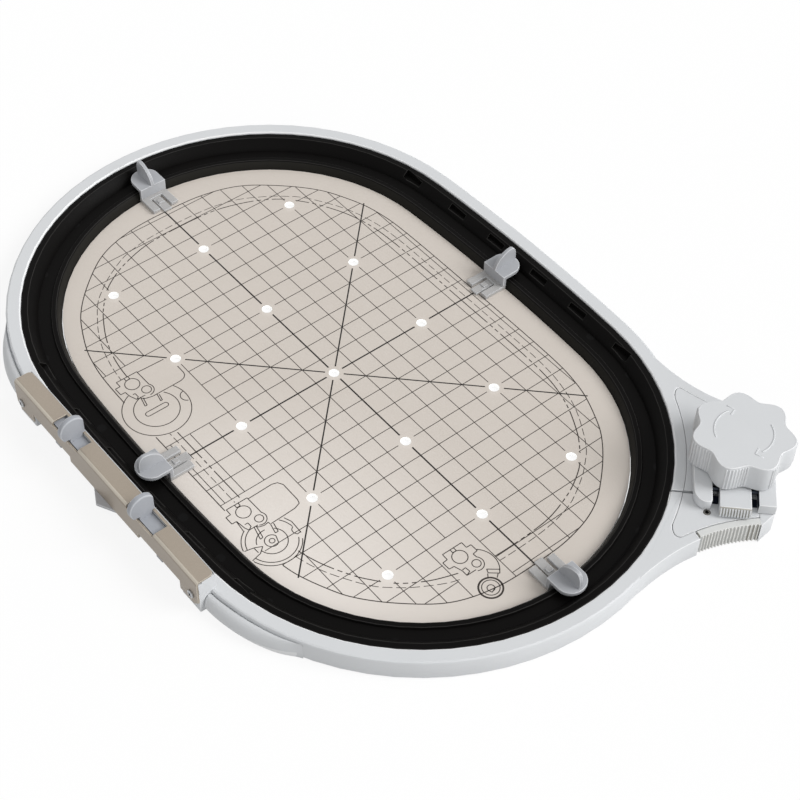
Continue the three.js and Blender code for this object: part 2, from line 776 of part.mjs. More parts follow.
function latchSlide(side) {
  const span = (from, to) => [side * from, side * to].sort((a, b) => a - b);
  const bar = box(...span(latchBarInner, latchBarOuter), slideFront, slideBack, slideBottom, slideTop);
  const tongue = box(...span(tongueOuter - tongueLength, tongueOuter), slideFront + latchGap,
    slideFront + latchGap + tongueThickness, tongueLow, slideBottom + 1);
  const neckFront = slideFront;
  const neckBack = coverBack - latchSlotStrip - latchGap;
  const middle = coverFront + paddleSetback;
  const crown = couplingTop + paddleRise;
  const flat = couplingTop + latchGap;
  const turn = Math.asin((crown - flat) / paddleRadius);
  const outline = new THREE.Shape();
  outline.moveTo(neckFront, slideTop - 1);
  outline.lineTo(neckFront, flat);
  outline.absarc(middle, crown, paddleRadius, Math.PI + turn, Math.acos(paddleBack / paddleRadius), true);
  outline.lineTo(middle + paddleBack, flat);
  outline.lineTo(neckBack, flat);
  outline.lineTo(neckBack, slideTop - 1);
  outline.closePath();
  const paddle = prismAlongX(outline, ...span(paddleInner, paddleInner + paddleThickness), 12);
  return joined(bar, tongue, paddle);
}

function couplingNose() {
  const back = -ringSide - turnedGap;
  const tip = coverFront - noseReach;
  return prism(polygon([
    [-noseHalfWidth, back],
    [-noseHalfWidth, tip + noseDepth],
    [0, tip],
    [noseHalfWidth, tip + noseDepth],
    [noseHalfWidth, back],
  ]), noseLow, noseTop());
}

function latchSpring() {
  const length = 2 * (latchBarInner - latchGap - latchSpringWire);
  const height = (slideTop + slideBottom) / 2;
  return coil(latchSpringRadius, latchSpringWire, latchSpringTurns, length)
    .translate(0, (slideFront + slideBack) / 2, height);
}

// Lock pieces, in the frame of the lock

function knobOutline(margin) {
  const mean = (knobTipRadius + knobValleyRadius) / 2 - margin;
  const wave = (knobTipRadius - knobValleyRadius) / 2;
  const points = [];
  const steps = knobLobes * 12;
  for (let i = 0; i < steps; i++) {
    const angle = i / steps * 2 * Math.PI;
    const radius = mean + wave * Math.cos(knobLobes * (angle - Math.PI / 2 - knobRestTurn));
    points.push([radius * Math.cos(angle), radius * Math.sin(angle)]);
  }
  return polygon(points);
}

function knob() {
  const body = new THREE.ExtrudeGeometry(knobOutline(knobEdge), {
    depth: knobHeight - 2 * knobEdge,
    bevelThickness: knobEdge,
    bevelSize: knobEdge,
    bevelSegments: 2,
  });
  body.translate(knobCentre, 0, knobBottom + knobEdge);
  const boreTop = knobBottom + shaftInKnob + seatGap;
  const bore = rod(shaftRadius + bearingGap, knobBottom - 1, boreTop, knobCentre, 0);
  return without(toSolid(body), bore);
}

// Half thickness of a tooth at a height above the pitch line
function toothHalf(height) {
  return toothPitch * toothShare / 2 - height * toothSlope;
}

function drawPinion() {
  const points = [];
  for (let i = 0; i < pinionTeeth; i++) {
    const middle = (i + 0.5) / pinionTeeth * 2 * Math.PI;
    const root = pinionRadius - toothDedendum;
    const tip = pinionRadius + toothAddendum;
    const rootTurn = toothHalf(-toothDedendum) / root;
    const tipTurn = toothHalf(toothAddendum) / tip;
    for (const [radius, turn] of [[root, -rootTurn], [tip, -tipTurn], [tip, tipTurn], [root, rootTurn]]) {
      points.push([radius * Math.cos(middle + turn), radius * Math.sin(middle + turn)]);
    }
  }
  const gear = new THREE.Shape(points.map(([x, y]) => new THREE.Vector2(x + knobCentre, y)));
  const wheel = prism(gear, rackBottom, rackBottom + rackHeight);
  const shaft = rod(shaftRadius, trayFoot, knobBottom + shaftInKnob, knobCentre, 0);
  return joined(wheel, shaft);
}

function drawRack() {
  const face = rackBack + rackThickness;
  const footStart = rackFootStart();
  const stem = face - rackFootStep - turnedGap;
  const end = rackEnd();
  const points = [[rackBack, footStart], [face, footStart], [face, footStart + rackFootLength]];
  points.push([stem, footStart + rackFootLength]);
  points.push([stem, slitOffset + turnedGap], [face, slitOffset + turnedGap]);
  const first = -(rackTeeth - 1) / 2;
  for (let i = 0; i < rackTeeth; i++) {
    const middle = (first + i) * toothPitch;
    const root = toothHalf(-toothDedendum);
    const tip = toothHalf(toothAddendum);
    const crest = rackPitchLine + toothAddendum;
    points.push([face, middle - root], [crest, middle - tip], [crest, middle + tip], [face, middle + root]);
  }
  points.push([face, end], [rackBack, end]);
  return prism(polygon(points), rackBottom, rackBottom + rackHeight);
}

function lockHousing() {
  const left = leverSlotLeft;
  const right = leverSlotRight;
  const inner = ringEndRadius + seatGap;
  const plan = new THREE.Shape();
  plan.moveTo(inner, housingBack - 8);
  plan.lineTo(inner + 0.6, earFront + 5);
  plan.quadraticCurveTo(inner + 1.2, earFront + 1, inner + 4.6, earFront - 0.4);
  plan.quadraticCurveTo(left, earFront - 0.9, left, earFront + 1.2);
  plan.lineTo(left, leverSlotBack);
  plan.lineTo(right, leverSlotBack);
  plan.lineTo(right, earFront);
  plan.lineTo(neckTip, earFront);
  plan.lineTo(neckTip, housingBack - 6);
  plan.lineTo(neckTip - 6, housingBack);
  plan.lineTo(inner + 8, housingBack);
  plan.closePath();
  const block = prism(plan, ringHeight + turnedGap, housingTop, 8);
  const bore = rod(shaftRadius + turnedGap, 0, couplingTop, knobCentre, 0);
  const pinHole = rodAlongX(pinRadius + pinGap, left - pinEnd - pinGap, right + pinEnd + pinGap, pivotOffset,
    pivotHeight);
  return without(block, bore, pinHole);
}

function releaseLever() {
  const left = leverSlotLeft + leverSideGap;
  const right = leverSlotRight - leverSideGap;
  const noseTopZ = housingTop - 0.2;
  const foot = ringHeight + turnedGap;
  const profile = new THREE.Shape();
  profile.moveTo(leverNose + 1.4, noseTopZ);
  profile.quadraticCurveTo(leverNose + 0.3, noseTopZ - 1.2, leverNose, foot + 0.7);
  profile.lineTo(leverNose + 3, foot + 0.6);
  profile.lineTo(pivotOffset, foot + 0.2);
  profile.lineTo(leverTail - 1, foot + 0.4);
  profile.lineTo(leverTail, foot + 1);
  profile.lineTo(leverTail, housingTop - 1.5);
  profile.lineTo(leverTail - 7, housingTop - 0.8);
  profile.lineTo(pivotOffset - 2.5, noseTopZ);
  profile.closePath();
  const body = prismAlongX(profile, left, right, 8);
  const hole = rodAlongX(pinRadius + pinGap, left - 1, right + 1, pivotOffset, pivotHeight);
  const middle = (left + right) / 2;
  const reach = leverSpringRadius + 2 * leverSpringWire;
  const springRoom = box(middle - leverSpringRoom / 2, middle + leverSpringRoom / 2, pivotOffset - reach,
    pivotOffset + reach, 0, pivotHeight + reach);
  return without(body, hole, springRoom);
}

function leverPin() {
  return rodAlongX(pinRadius, leverSlotLeft - pinEnd, leverSlotRight + pinEnd, pivotOffset, pivotHeight);
}

function leverSpring() {
  const length = leverSpringRoom - 2 * leverSpringWire - 2 * turnedGap;
  return coil(leverSpringRadius, leverSpringWire, leverSpringTurns, length)
    .translate((leverSlotLeft + leverSlotRight) / 2, pivotOffset, pivotHeight);
}

function neckCover(side) {
  const plate = prism(neckCoverShape(side, 0), coverSeat, ringHeight);
  if (side > 0) {
    return without(plate, rod(shaftRadius + turnedGap, 0, couplingTop, knobCentre, 0));
  }
  return without(plate, rod(neckScrewRadius + screwGap, 0, couplingTop, ringEndRadius + neckScrewInset,
    neckScrewOffset, smallSteps));
}

function neckScrew() {
  const x = ringEndRadius + neckScrewInset;
  const head = rod(neckScrewRadius, coverSeat, ringHeight - seatGap, x, neckScrewOffset, smallSteps);
  const low = coverSeat - screwLength + screwGap;
  const shank = rod(screwShankRadius, low, coverSeat, x, neckScrewOffset, smallSteps);
  return joined(head, shank);
}

function gripPad() {
  const shape = neckStrip(padShare + 0.005, padInset, padInset + padDepth, padRibs, padRibHeight);
  return prism(shape, trayFoot, ringHeight - seatGap);
}

// Assembly

function addPiece(group, name, piece, material) {
  const geometry = piece.isBufferGeometry ? piece : toGeometry(piece);
  const mesh = new THREE.Mesh(geometry, material);
  mesh.name = name;
  group.add(mesh);
  return mesh;
}

const hoop = new THREE.Group();
addPiece(hoop, 'outer_ring', outerRing(), paleGrey);
addPiece(hoop, 'inner_ring', innerRing(), black);
addPiece(hoop, 'template_plate', template(), clear);
const clipGeometry = toGeometry(templateClip());
for (const { name, x, y, angle } of clipPlaces()) {
  const clip = addPiece(hoop, name, clipGeometry, midGrey);
  clip.position.set(x, y, 0);
  clip.rotation.z = angle;
}

addPiece(hoop, 'coupling_cover', couplingCover(), taupe);
addPiece(hoop, 'coupling_nose', couplingNose(), midGrey);
addPiece(hoop, 'latch_spring', latchSpring(), steel);
for (const [side, label] of [[-1, 'left'], [1, 'right']]) {
  addPiece(hoop, `cover_screw_${label}`, coverScrew(side), steel);
  addPiece(hoop, `latch_slide_${label}`, latchSlide(side), midGrey);
}

const lock = new THREE.Group();
lock.position.set(endCentre, 0, 0);
lock.rotation.z = lockAngle;
hoop.add(lock);
addPiece(lock, 'lock_knob', knob(), paleGrey);
addPiece(lock, 'draw_pinion', drawPinion(), white);
addPiece(lock, 'draw_rack', drawRack(), white);
addPiece(lock, 'lock_housing', lockHousing(), paleGrey);
addPiece(lock, 'release_lever', releaseLever(), paleGrey);
addPiece(lock, 'lever_pin', leverPin(), steel);
addPiece(lock, 'lever_spring', leverSpring(), steel);
addPiece(lock, 'neck_cover_far', neckCover(1), paleGrey);
addPiece(lock, 'neck_cover_near', neckCover(-1), paleGrey);
addPiece(lock, 'neck_cover_screw', neckScrew(), steel);
addPiece(lock, 'grip_pad', gripPad(), cream);

// The origin is under the middle of the whole hoop, on the surface it lies on
hoop.updateMatrixWorld(true);
const bounds = new THREE.Box3().setFromObject(hoop, true);
const middle = bounds.getCenter(new THREE.Vector3());
hoop.position.set(-middle.x, -middle.y, -bounds.min.z);

export default hoop;
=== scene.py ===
import math

import bmesh
import bpy
from mathutils import Matrix, Vector


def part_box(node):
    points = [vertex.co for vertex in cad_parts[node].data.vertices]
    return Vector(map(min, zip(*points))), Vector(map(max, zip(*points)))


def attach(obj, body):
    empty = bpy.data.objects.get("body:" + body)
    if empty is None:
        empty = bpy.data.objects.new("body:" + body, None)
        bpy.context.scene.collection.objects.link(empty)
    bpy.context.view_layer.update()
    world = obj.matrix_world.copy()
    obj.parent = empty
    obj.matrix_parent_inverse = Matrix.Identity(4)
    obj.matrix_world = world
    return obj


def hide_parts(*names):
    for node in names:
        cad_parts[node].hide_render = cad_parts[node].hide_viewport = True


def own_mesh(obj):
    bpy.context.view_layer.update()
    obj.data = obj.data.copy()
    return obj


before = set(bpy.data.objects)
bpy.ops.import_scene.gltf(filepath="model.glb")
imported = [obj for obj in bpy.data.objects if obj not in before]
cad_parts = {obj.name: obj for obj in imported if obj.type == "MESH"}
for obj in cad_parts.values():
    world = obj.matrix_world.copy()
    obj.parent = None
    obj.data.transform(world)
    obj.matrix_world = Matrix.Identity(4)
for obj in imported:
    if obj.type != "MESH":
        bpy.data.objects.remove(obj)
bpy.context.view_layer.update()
mm = 0.001
# the smallest distances that count, in metres
hair = 1e-6
speck = 1e-7

# the template is centred in the hoop, and the centres of the end arcs lie to each side of the middle, in mm
plateLow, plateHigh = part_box("template_plate")
hoopMiddle = Vector(((plateLow.x + plateHigh.x) / 2, (plateLow.y + plateHigh.y) / 2, 0))
plateTop = plateHigh.z
arcCentre = 54.7

# the lock's own frame, in mm from the centre of an end arc: x runs out of the ring, and y along the lever's slot
lock = {"turn": 45, "knobAlong": 134.4, "slotNear": 123.4, "slotFar": 142.3, "slotBack": -4.0, "shadeFrom": -23.6}
lockPlace = (Matrix.Translation(hoopMiddle + Vector((arcCentre * mm, 0, 0)))
             @ Matrix.Rotation(math.radians(lock["turn"]), 4, "Z"))
lockHome = lockPlace.inverted()
print("frame loaded:", len(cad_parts), "solids")


def fromLock(x, y, z):
    return lockPlace @ (Vector((x, y, z)) * mm)


def inLock(face):
    return lockHome @ face.calc_center_median() / mm


def facingInLock(face):
    return lockHome.to_3x3() @ face.normal


# a socket in a material, so that shader sums are written as sums
class Wire:
    def __init__(self, tree, socket=None):
        self.tree = tree
        self.socket = socket

    def node(self, kind, settings=None, sockets=None, out=0):
        made = self.tree.nodes.new("ShaderNode" + kind)
        for name, value in (settings or {}).items():
            setattr(made, name, value)
        for name, value in (sockets or {}).items():
            if isinstance(value, Wire):
                self.tree.links.new(value.socket, made.inputs[name])
            else:
                made.inputs[name].default_value = value
        return Wire(self.tree, made.outputs[out] if len(made.outputs) else None)

    def math(self, operation, left, right=0.0):
        return self.node("Math", {"operation": operation}, {0: left, 1: right})

    def blend(self, share, first, second):
        return self.node("Mix", {"data_type": "RGBA"}, {0: share, 6: first, 7: second}, out=2)

    def __add__(self, other):
        return self.math("ADD", self, other)

    def __radd__(self, other):
        return self.math("ADD", other, self)

    def __sub__(self, other):
        return self.math("SUBTRACT", self, other)

    def __rsub__(self, other):
        return self.math("SUBTRACT", other, self)

    def __mul__(self, other):
        return self.math("MULTIPLY", self, other)


def linear(tone):
    shares = [value / 255 for value in tone]
    return (*[share / 12.92 if share <= 0.04045 else ((share + 0.055) / 1.055) ** 2.4 for share in shares], 1.0)


def blankFinish(name):
    material = bpy.data.materials.new(name)
    material.use_nodes = True
    material.node_tree.nodes.clear()
    return material, Wire(material.node_tree)


def noise(pen, where, scale, detail, roughness=0.5):
    return pen.node("TexNoise", {}, {"Vector": where, "Scale": scale, "Detail": detail, "Roughness": roughness})


# what the finishes share; the depth of a bump is in mm
finishBase = {"cloudDetail": 4.0, "grainDetail": 2.0, "mouldedClouds": 0.6, "grainShare": 0.6, "bumpDepth": 0.1}


# the start of a finish: its material and pen, object coordinates, broad clouds and fine grain
def startFinish(name, look, detail=finishBase["cloudDetail"], roughness=0.5):
    material, pen = blankFinish(name)
    where = pen.node("TexCoord", out="Object")
    cloud = noise(pen, where, look["cloud"], detail, roughness)
    return material, pen, where, cloud, noise(pen, where, look["grain"], finishBase["grainDetail"])


def bodyTone(pen, look, cloud):
    return pen.blend(cloud, linear(look["tone"]), linear(look["drift"]))


# how much painted highlight a face gets, read from a corner attribute
def paintedHighlightShare(pen):
    return pen.node("Attribute", {"attribute_name": "paintedHighlight"}, out="Fac")


def spreadRough(look, cloud):
    return look["rough"] + (cloud - 0.5) * look["spread"]


# the end of a finish: a surface with a fine bump
def endFinish(material, pen, look, colour, rough, height, more=()):
    depth = finishBase["bumpDepth"] * mm
    skin = pen.node("Bump", {}, {"Strength": look["bump"], "Distance": depth, "Height": height})
    shader = pen.node("BsdfPrincipled", {}, {"Base Color": colour, "Roughness": rough, "Normal": skin,
                                             "Specular IOR Level": look["shine"], **dict(more)})
    pen.node("OutputMaterial", {}, {"Surface": shader})
    return material


# each finish: its tone, the tone it drifts to, the tone of the painted highlight on its rounded edges, its roughness
# and how far that spreads, its shine, its clouds and grain in parts per metre, and its bump
lookColumns = ("tone", "drift", "edge", "rough", "spread", "shine", "cloud", "grain", "bump")
finishRows = {
    "palePlastic": ((217, 219, 221), (211, 213, 215), (236, 237, 238), 0.46, 0.12, 0.35, 38, 2600, 0.10),
    "blackPlastic": ((8, 7, 7), (12, 11, 10), (46, 45, 44), 0.46, 0.16, 0.05, 45, 2200, 0.16),
    # painted sheen: a lighter black for the black ring's low inner wall
    "blackWallPaintedSheen": ((36, 35, 32), (30, 29, 27), (56, 55, 52), 0.48, 0.16, 0.06, 45, 2200, 0.16),
    # black for real moulding marks, and painted shade in the screw recesses
    "markPlastic": ((6, 6, 6), (9, 8, 8), (9, 8, 8), 0.34, 0.08, 0.08, 120, 3000, 0.06),
    "latchPlastic": ((168, 171, 177), (160, 163, 169), (186, 189, 194), 0.44, 0.14, 0.35, 110, 1900, 0.35),
    "nosePlastic": ((196, 197, 201), (188, 189, 193), (216, 217, 219), 0.42, 0.12, 0.35, 90, 2400, 0.1),
    "whitePlastic": ((226, 226, 222), (218, 218, 213), (234, 234, 230), 0.45, 0.1, 0.4, 80, 2400, 0.08),
    "gripPlastic": ((220, 221, 220), (213, 214, 212), (236, 236, 232), 0.58, 0.1, 0.3, 70, 1800, 0.2),
    # painted shade for groove walls and the ground under the lever's lip
    "grooveShade": ((174, 172, 165), (164, 162, 155), (186, 184, 177), 0.6, 0.1, 0.2, 90, 1800, 0.15),
    # painted shade for the inside of the lever slot
    "slotPaintedShade": ((24, 31, 46), (17, 21, 32), (52, 62, 84), 0.42, 0.12, 0.15, 160, 2400, 0.08),
    "printInk": ((46, 40, 36), (58, 51, 46), (46, 40, 36), 0.45, 0.15, 0.3, 320, 4200, 0.05),
    "axisInk": ((22, 19, 17), (32, 28, 25), (22, 19, 17), 0.42, 0.15, 0.3, 320, 4200, 0.05),
}
finishLooks = {name: dict(zip(lookColumns, row)) for name, row in finishRows.items()}


# moulded plastic; its edge tone is a painted highlight on the rounded edges
def mouldedFinish(name):
    look = finishLooks[name]
    material, pen, _, cloud, grain = startFinish(name, look, roughness=finishBase["mouldedClouds"])
    colour = pen.blend(paintedHighlightShare(pen), bodyTone(pen, look, cloud), linear(look["edge"]))
    rough = spreadRough(look, cloud) + (grain - 0.5) * (look["spread"] * finishBase["grainShare"])
    return endFinish(material, pen, look, colour, rough, grain)


# frosted grey clips, paler and a little see-through where the thin prongs lie on the template, with a painted
# highlight on their rounded edges
clipLook = {"tone": (174, 176, 180), "drift": (166, 168, 172), "edge": (206, 208, 211), "paintedHighlightShare": 0.8,
            "low": (190, 189, 188), "lowTop": 4.7, "lowCover": 0.80, "rough": 0.36, "spread": 0.12, "shine": 0.35,
            "cloud": 90, "grain": 2400, "bump": 0.1}


def clipFinish():
    look = clipLook
    material, pen, where, cloud, grain = startFinish("clipPlastic", look)
    low = pen.math("LESS_THAN", pen.node("SeparateXYZ", {}, {0: where}, out="Z"), look["lowTop"] * mm)
    body = pen.blend(low, bodyTone(pen, look, cloud), linear(look["low"]))
    colour = pen.blend(paintedHighlightShare(pen) * look["paintedHighlightShare"], body, linear(look["edge"]))
    alpha = 1 - low * (1 - look["lowCover"])
    return endFinish(material, pen, look, colour, spreadRough(look, cloud), grain, {"Alpha": alpha})


# clear sheet, warm grey over a white table, with painted light that makes it paler near one corner, and a painted
# highlight on its cut edge
templateLook = {"tone": (222, 214, 205), "drift": (216, 207, 198), "near": (242, 235, 228), "edge": (246, 244, 240),
                "rough": 0.36, "spread": 0.08, "shine": 0.2, "cover": 0.86, "cloud": 14, "detail": 3.0, "grain": 900,
                "bump": 0.02, "paintedLightSpot": (0.07, -0.1, 0.0), "paintedLightReach": (0.115, 0.03)}


def templateFinish():
    look = templateLook
    material, pen, where, cloud, grain = startFinish("clearPlastic", look, look["detail"])
    # painted light: paler towards a spot near one corner
    away = pen.node("VectorMath", {"operation": "DISTANCE"}, {0: where, 1: look["paintedLightSpot"]}, out="Value")
    near = pen.node("MapRange", {}, {0: away, 1: look["paintedLightReach"][0], 2: look["paintedLightReach"][1]})
    body = pen.blend(near, bodyTone(pen, look, cloud), linear(look["near"]))
    colour = pen.blend(paintedHighlightShare(pen), body, linear(look["edge"]))
    return endFinish(material, pen, look, colour, spreadRough(look, cloud), grain, {"Alpha": look["cover"]})


# the wall of a hole in a clear sheet is painted white with a painted glow, for the light that the sheet gathers
holeLook = {"tone": (252, 252, 250), "drift": (244, 244, 242), "rough": 0.3, "spread": 0.1, "shine": 0.5,
            "glow": 0.35, "cloud": 300, "bump": 0.05}


def holeFinish():
    look = holeLook
    material, pen = blankFinish("holeWallPaintedGlow")
    cloud = noise(pen, pen.node("TexCoord", out="Object"), look["cloud"], finishBase["grainDetail"])
    colour = bodyTone(pen, look, cloud)
    glow = {"Emission Color": colour, "Emission Strength": look["glow"]}
    return endFinish(material, pen, look, colour, look["rough"] + cloud * look["spread"], cloud, glow)


# painted sheet with a faint metal flake, and a painted highlight on its rounded edges
coverLook = {"tone": (167, 156, 143), "drift": (160, 149, 135), "edge": (204, 196, 182), "rough": 0.42,
             "spread": 0.14, "grainSpread": 0.08, "cloud": 26, "grain": 3400, "bump": 0.12, "metal": 0.2,
             "flake": 0.05, "flakeScale": 2200.0, "shine": 0.4}


def coverFinish():
    look = coverLook
    material, pen, where, cloud, grain = startFinish("coverMetal", look)
    flake = pen.node("TexVoronoi", {}, {"Vector": where, "Scale": look["flakeScale"]}, out="Distance")
    specks = pen.node("CombineColor", {}, {0: flake, 1: flake, 2: flake})
    flaked = pen.node("Mix", {"data_type": "RGBA", "blend_type": "OVERLAY"},
                      {0: look["flake"], 6: bodyTone(pen, look, cloud), 7: specks}, out=2)
    colour = pen.blend(paintedHighlightShare(pen), flaked, linear(look["edge"]))
    rough = spreadRough(look, cloud) + (grain - 0.5) * look["grainSpread"]
    return endFinish(material, pen, look, colour, rough, grain, {"Metallic": look["metal"]})


# bare steel with fine streaks
steelBase = {"spread": 0.2, "shine": 0.5, "stretch": (600.0, 600.0, 4200.0), "detail": 3.0, "bump": 0.08}
steelLooks = {"brightSteel": {"tone": (186, 188, 190), "drift": (160, 162, 165), "rough": 0.28},
              "screwSteel": {"tone": (148, 146, 141), "drift": (116, 113, 108), "rough": 0.32},
              "pinSteel": {"tone": (58, 62, 70), "drift": (44, 47, 54), "rough": 0.4}}


def steelFinish(name):
    look = {**steelBase, **steelLooks[name]}
    material, pen = blankFinish(name)
    where = pen.node("TexCoord", out="Object")
    drawn = pen.node("Mapping", {}, {"Vector": where, "Scale": look["stretch"]})
    streak = noise(pen, drawn, 1.0, look["detail"])
    return endFinish(material, pen, look, bodyTone(pen, look, streak), spreadRough(look, streak), streak,
                     {"Metallic": 1.0})


finishes = {name: mouldedFinish(name) for name in finishLooks}
finishes["clipPlastic"] = clipFinish()
finishes["clearPlastic"] = templateFinish()
finishes["holeWallPaintedGlow"] = holeFinish()
finishes["coverMetal"] = coverFinish()
finishes.update({name: steelFinish(name) for name in steelLooks})
print("finishes made:", len(finishes))


# faces that keep a flat shade, level or large, with areas in square mm
flatFaces = {"level": 0.9995, "levelArea": 4.0, "anyArea": 150.0}


# puts a finished bmesh into the scene as a piece that rides on a body, and may stand in for solids
def addPiece(name, work, finish, body, stands=(), sharpAngle=34):
    for face in work.faces:
        area = face.calc_area() / mm ** 2
        level = abs(face.normal.z) > flatFaces["level"] and area > flatFaces["levelArea"]
        face.smooth = not level and area < flatFaces["anyArea"]
    for edge in work.edges:
        if len(edge.link_faces) == 2:
            edge.smooth = edge.calc_face_angle(0.0) < math.radians(sharpAngle)
    mesh = bpy.data.meshes.new(name)
    work.to_mesh(mesh)
    work.free()
    piece = bpy.data.objects.new(name, mesh)
    bpy.context.scene.collection.objects.link(piece)
    for each in [finish] if isinstance(finish, str) else finish:
        mesh.materials.append(finishes[each])
    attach(piece, body)
    if stands:
        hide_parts(*stands)
    return piece


# how the solids are cleaned before they are dressed, in mm and degrees
cleaning = {"doubles": 0.002, "flat": 0.5, "shortest": 0.05, "sharp": 38}


def welded(node):
    work = bmesh.new()
    work.from_mesh(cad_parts[node].data)
    bmesh.ops.remove_doubles(work, verts=work.verts[:], dist=cleaning["doubles"] * mm)
    return work


def merged(node):
    work = welded(node)
    bmesh.ops.dissolve_limit(work, angle_limit=math.radians(cleaning["flat"]), verts=work.verts[:],
                             edges=work.edges[:])
    return work


def rounded(work, edges, offset, segments=2, **more):
    return bmesh.ops.bevel(work, geom=edges, offset=offset * mm, offset_type="OFFSET", affect="EDGES",
                           segments=segments, profile=0.5, material=-1, **more)


# a merged copy of a solid with its outer edges rounded a little, and the rounded strips marked for a painted
# highlight; edges that reach below a height, or lie inside the crisp box, stay as they are
def softened(node, edge, above=-1.0, work=None, crisp=None):
    work = work or merged(node)

    def covered(vert):
        return crisp and all(least < at < most for at, least, most in zip(vert.co, *crisp))

    sharp = [each for each in work.edges if len(each.link_faces) == 2 and each.is_convex
             and each.calc_face_angle(0.0) > math.radians(cleaning["sharp"])
             and each.calc_length() > cleaning["shortest"] * mm
             and min(vert.co.z for vert in each.verts) > above * mm
             and not all(covered(vert) for vert in each.verts)]
    made = rounded(work, sharp, edge, clamp_overlap=False, loop_slide=True)
    light = work.loops.layers.float.new("paintedHighlight")
    for face in made["faces"]:
        for corner in face.loops:
            corner[light] = 1.0
    low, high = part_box(node)
    for vert in work.verts:
        vert.co = [min(max(at, least), most) for at, least, most in zip(vert.co, low, high)]
    return work


# share of the painted highlight tone on each face, kept where a face already has more
def paintHighlightOn(work, share):
    layers = work.loops.layers.float
    light = layers.get("paintedHighlight") or layers.new("paintedHighlight")
    for face in work.faces:
        amount = share(face)
        for corner in face.loops:
            corner[light] = max(corner[light], amount)


# lets a mesh stand in for a solid; the chosen faces get the second of its two finishes
def dressNode(node, work, finish, body, chosen=None):
    for face in work.faces:
        if chosen and chosen(face):
            face.material_index = 1
    addPiece(node + "_finish", work, finish, body, [node])


# solids that keep their shape and only get softer edges with a painted highlight: edge in mm, finish, body, material
# slot
softPieces = {"template_clip_" + place: (0.3, "clipPlastic", "template", "grey_plastic")
              for place in ("lock_end", "far_side", "plain_end", "coupling_side")}
softPieces["coupling_nose"] = (0.2, "nosePlastic", "outer", "grey_plastic")
for node, (edge, finish, body, slot) in softPieces.items():
    dressNode(node, softened(node, edge), finish, body)
print("softened solids:", len(softPieces))

# the paddles of the latch slides are well rounded, and the bars under them stay crisp
latches = {"edge": 0.5, "above": 20.4, "travel": 4.0}


def dressLatches():
    for side in ("left", "right"):
        node = "latch_slide_" + side
        work = softened(node, latches["edge"], above=latches["above"])
        dressNode(node, work, "latchPlastic", "latch_" + side)


# the spring between the slides is cut in two halves
def dressLatchSpring():
    low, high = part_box("latch_spring")
    middle = (low + high) / 2
    for side in ("left", "right"):
        work = welded("latch_spring")
        bmesh.ops.bisect_plane(work, geom=[*work.verts, *work.edges, *work.faces], plane_co=middle,
                               plane_no=(1, 0, 0), clear_outer=side == "left", clear_inner=side == "right")
        bmesh.ops.holes_fill(work, edges=[edge for edge in work.edges if edge.is_boundary], sides=0)
        half = addPiece("latch_spring_" + side, work, "brightSteel", "outer", ["latch_spring"])
        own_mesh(half)


# the two wings beside the tray, in mm: each swells from a groove under the rim to the foot of the wall, and fades
# by one power on the tray's side of its widest place and by another beyond it
wings = {"from": 67.7, "to": 109.4, "wall": 115.3, "stations": 20, "steps": 7, "widest": 82.0, "fade": (0.5, 0.8),
         "reach": 4.9, "sink": 0.5, "groove": 8.1, "grooveOut": 0.1, "grooveRise": 0.15, "crest": 9.4,
         "crestOut": 0.8, "crestGain": 1.6, "edge": 3.4, "fold": (0.3, 0.6), "under": 1.6, "foot": 0.03,
         "highlightTilt": 0.1}


def wingProfile(share):
    span = max(0.0, wings["reach"] * share - wings["crestOut"])
    lip = wings["crestOut"] * min(1.0, share * wings["crestGain"]) - wings["grooveOut"]
    turns = [step / wings["steps"] * math.pi / 2 for step in range(wings["steps"] + 1)]
    bow = [(lip + span * math.sin(turn), wings["edge"] + (wings["crest"] - wings["edge"]) * math.cos(turn))
           for turn in turns]
    foldIn, foldDown = wings["fold"]
    return [(-wings["sink"], wings["groove"]), (wings["grooveOut"], wings["groove"] + wings["grooveRise"]), *bow,
            (bow[-1][0] - foldIn * share, wings["edge"] - foldDown),
            (bow[-1][0] - wings["under"] * share, wings["foot"]), (-wings["sink"], wings["foot"])]


def dressWings():
    work = bmesh.new()
    for side in (-1, 1):
        loops = []
        for station in range(wings["stations"] + 1):
            x = wings["from"] + (wings["to"] - wings["from"]) * station / wings["stations"]
            away = (x - wings["widest"]) / (wings["to"] - wings["widest"])
            turn = math.acos((x - arcCentre) / wings["wall"])
            rim = []
            for out, up in wingProfile(max(0.0, 1 - away ** 2) ** wings["fade"][away > 0]):
                reach = wings["wall"] + out
                spot = Vector((side * (arcCentre + reach * math.cos(turn)), -reach * math.sin(turn), up))
                rim.append(work.verts.new(hoopMiddle + spot * mm))
            loops.append([work.edges.new(pair) for pair in zip(rim, rim[1:] + rim[:1])])
        for near, far in zip(loops, loops[1:]):
            bmesh.ops.bridge_loops(work, edges=near + far)
        bmesh.ops.holes_fill(work, edges=loops[0] + loops[-1], sides=0)
    bmesh.ops.recalc_face_normals(work, faces=work.faces[:])
    # faces that tilt up get a painted highlight
    paintHighlightOn(work, lambda face: face.normal.z > wings["highlightTilt"])
    addPiece("tray_wings", work, "palePlastic", "outer", sharpAngle=50)


# the pale ring has a painted highlight strip along the inner edge of its top, and stays crisp under the cover; in mm
paleRing = {"edge": 0.22, "coverMargin": 1.0, "top": 11.0, "topSpare": 0.05, "level": 0.999, "strip": 0.55,
            "within": 109.9, "rimLow": 10.4, "highlightTilt": 0.2}


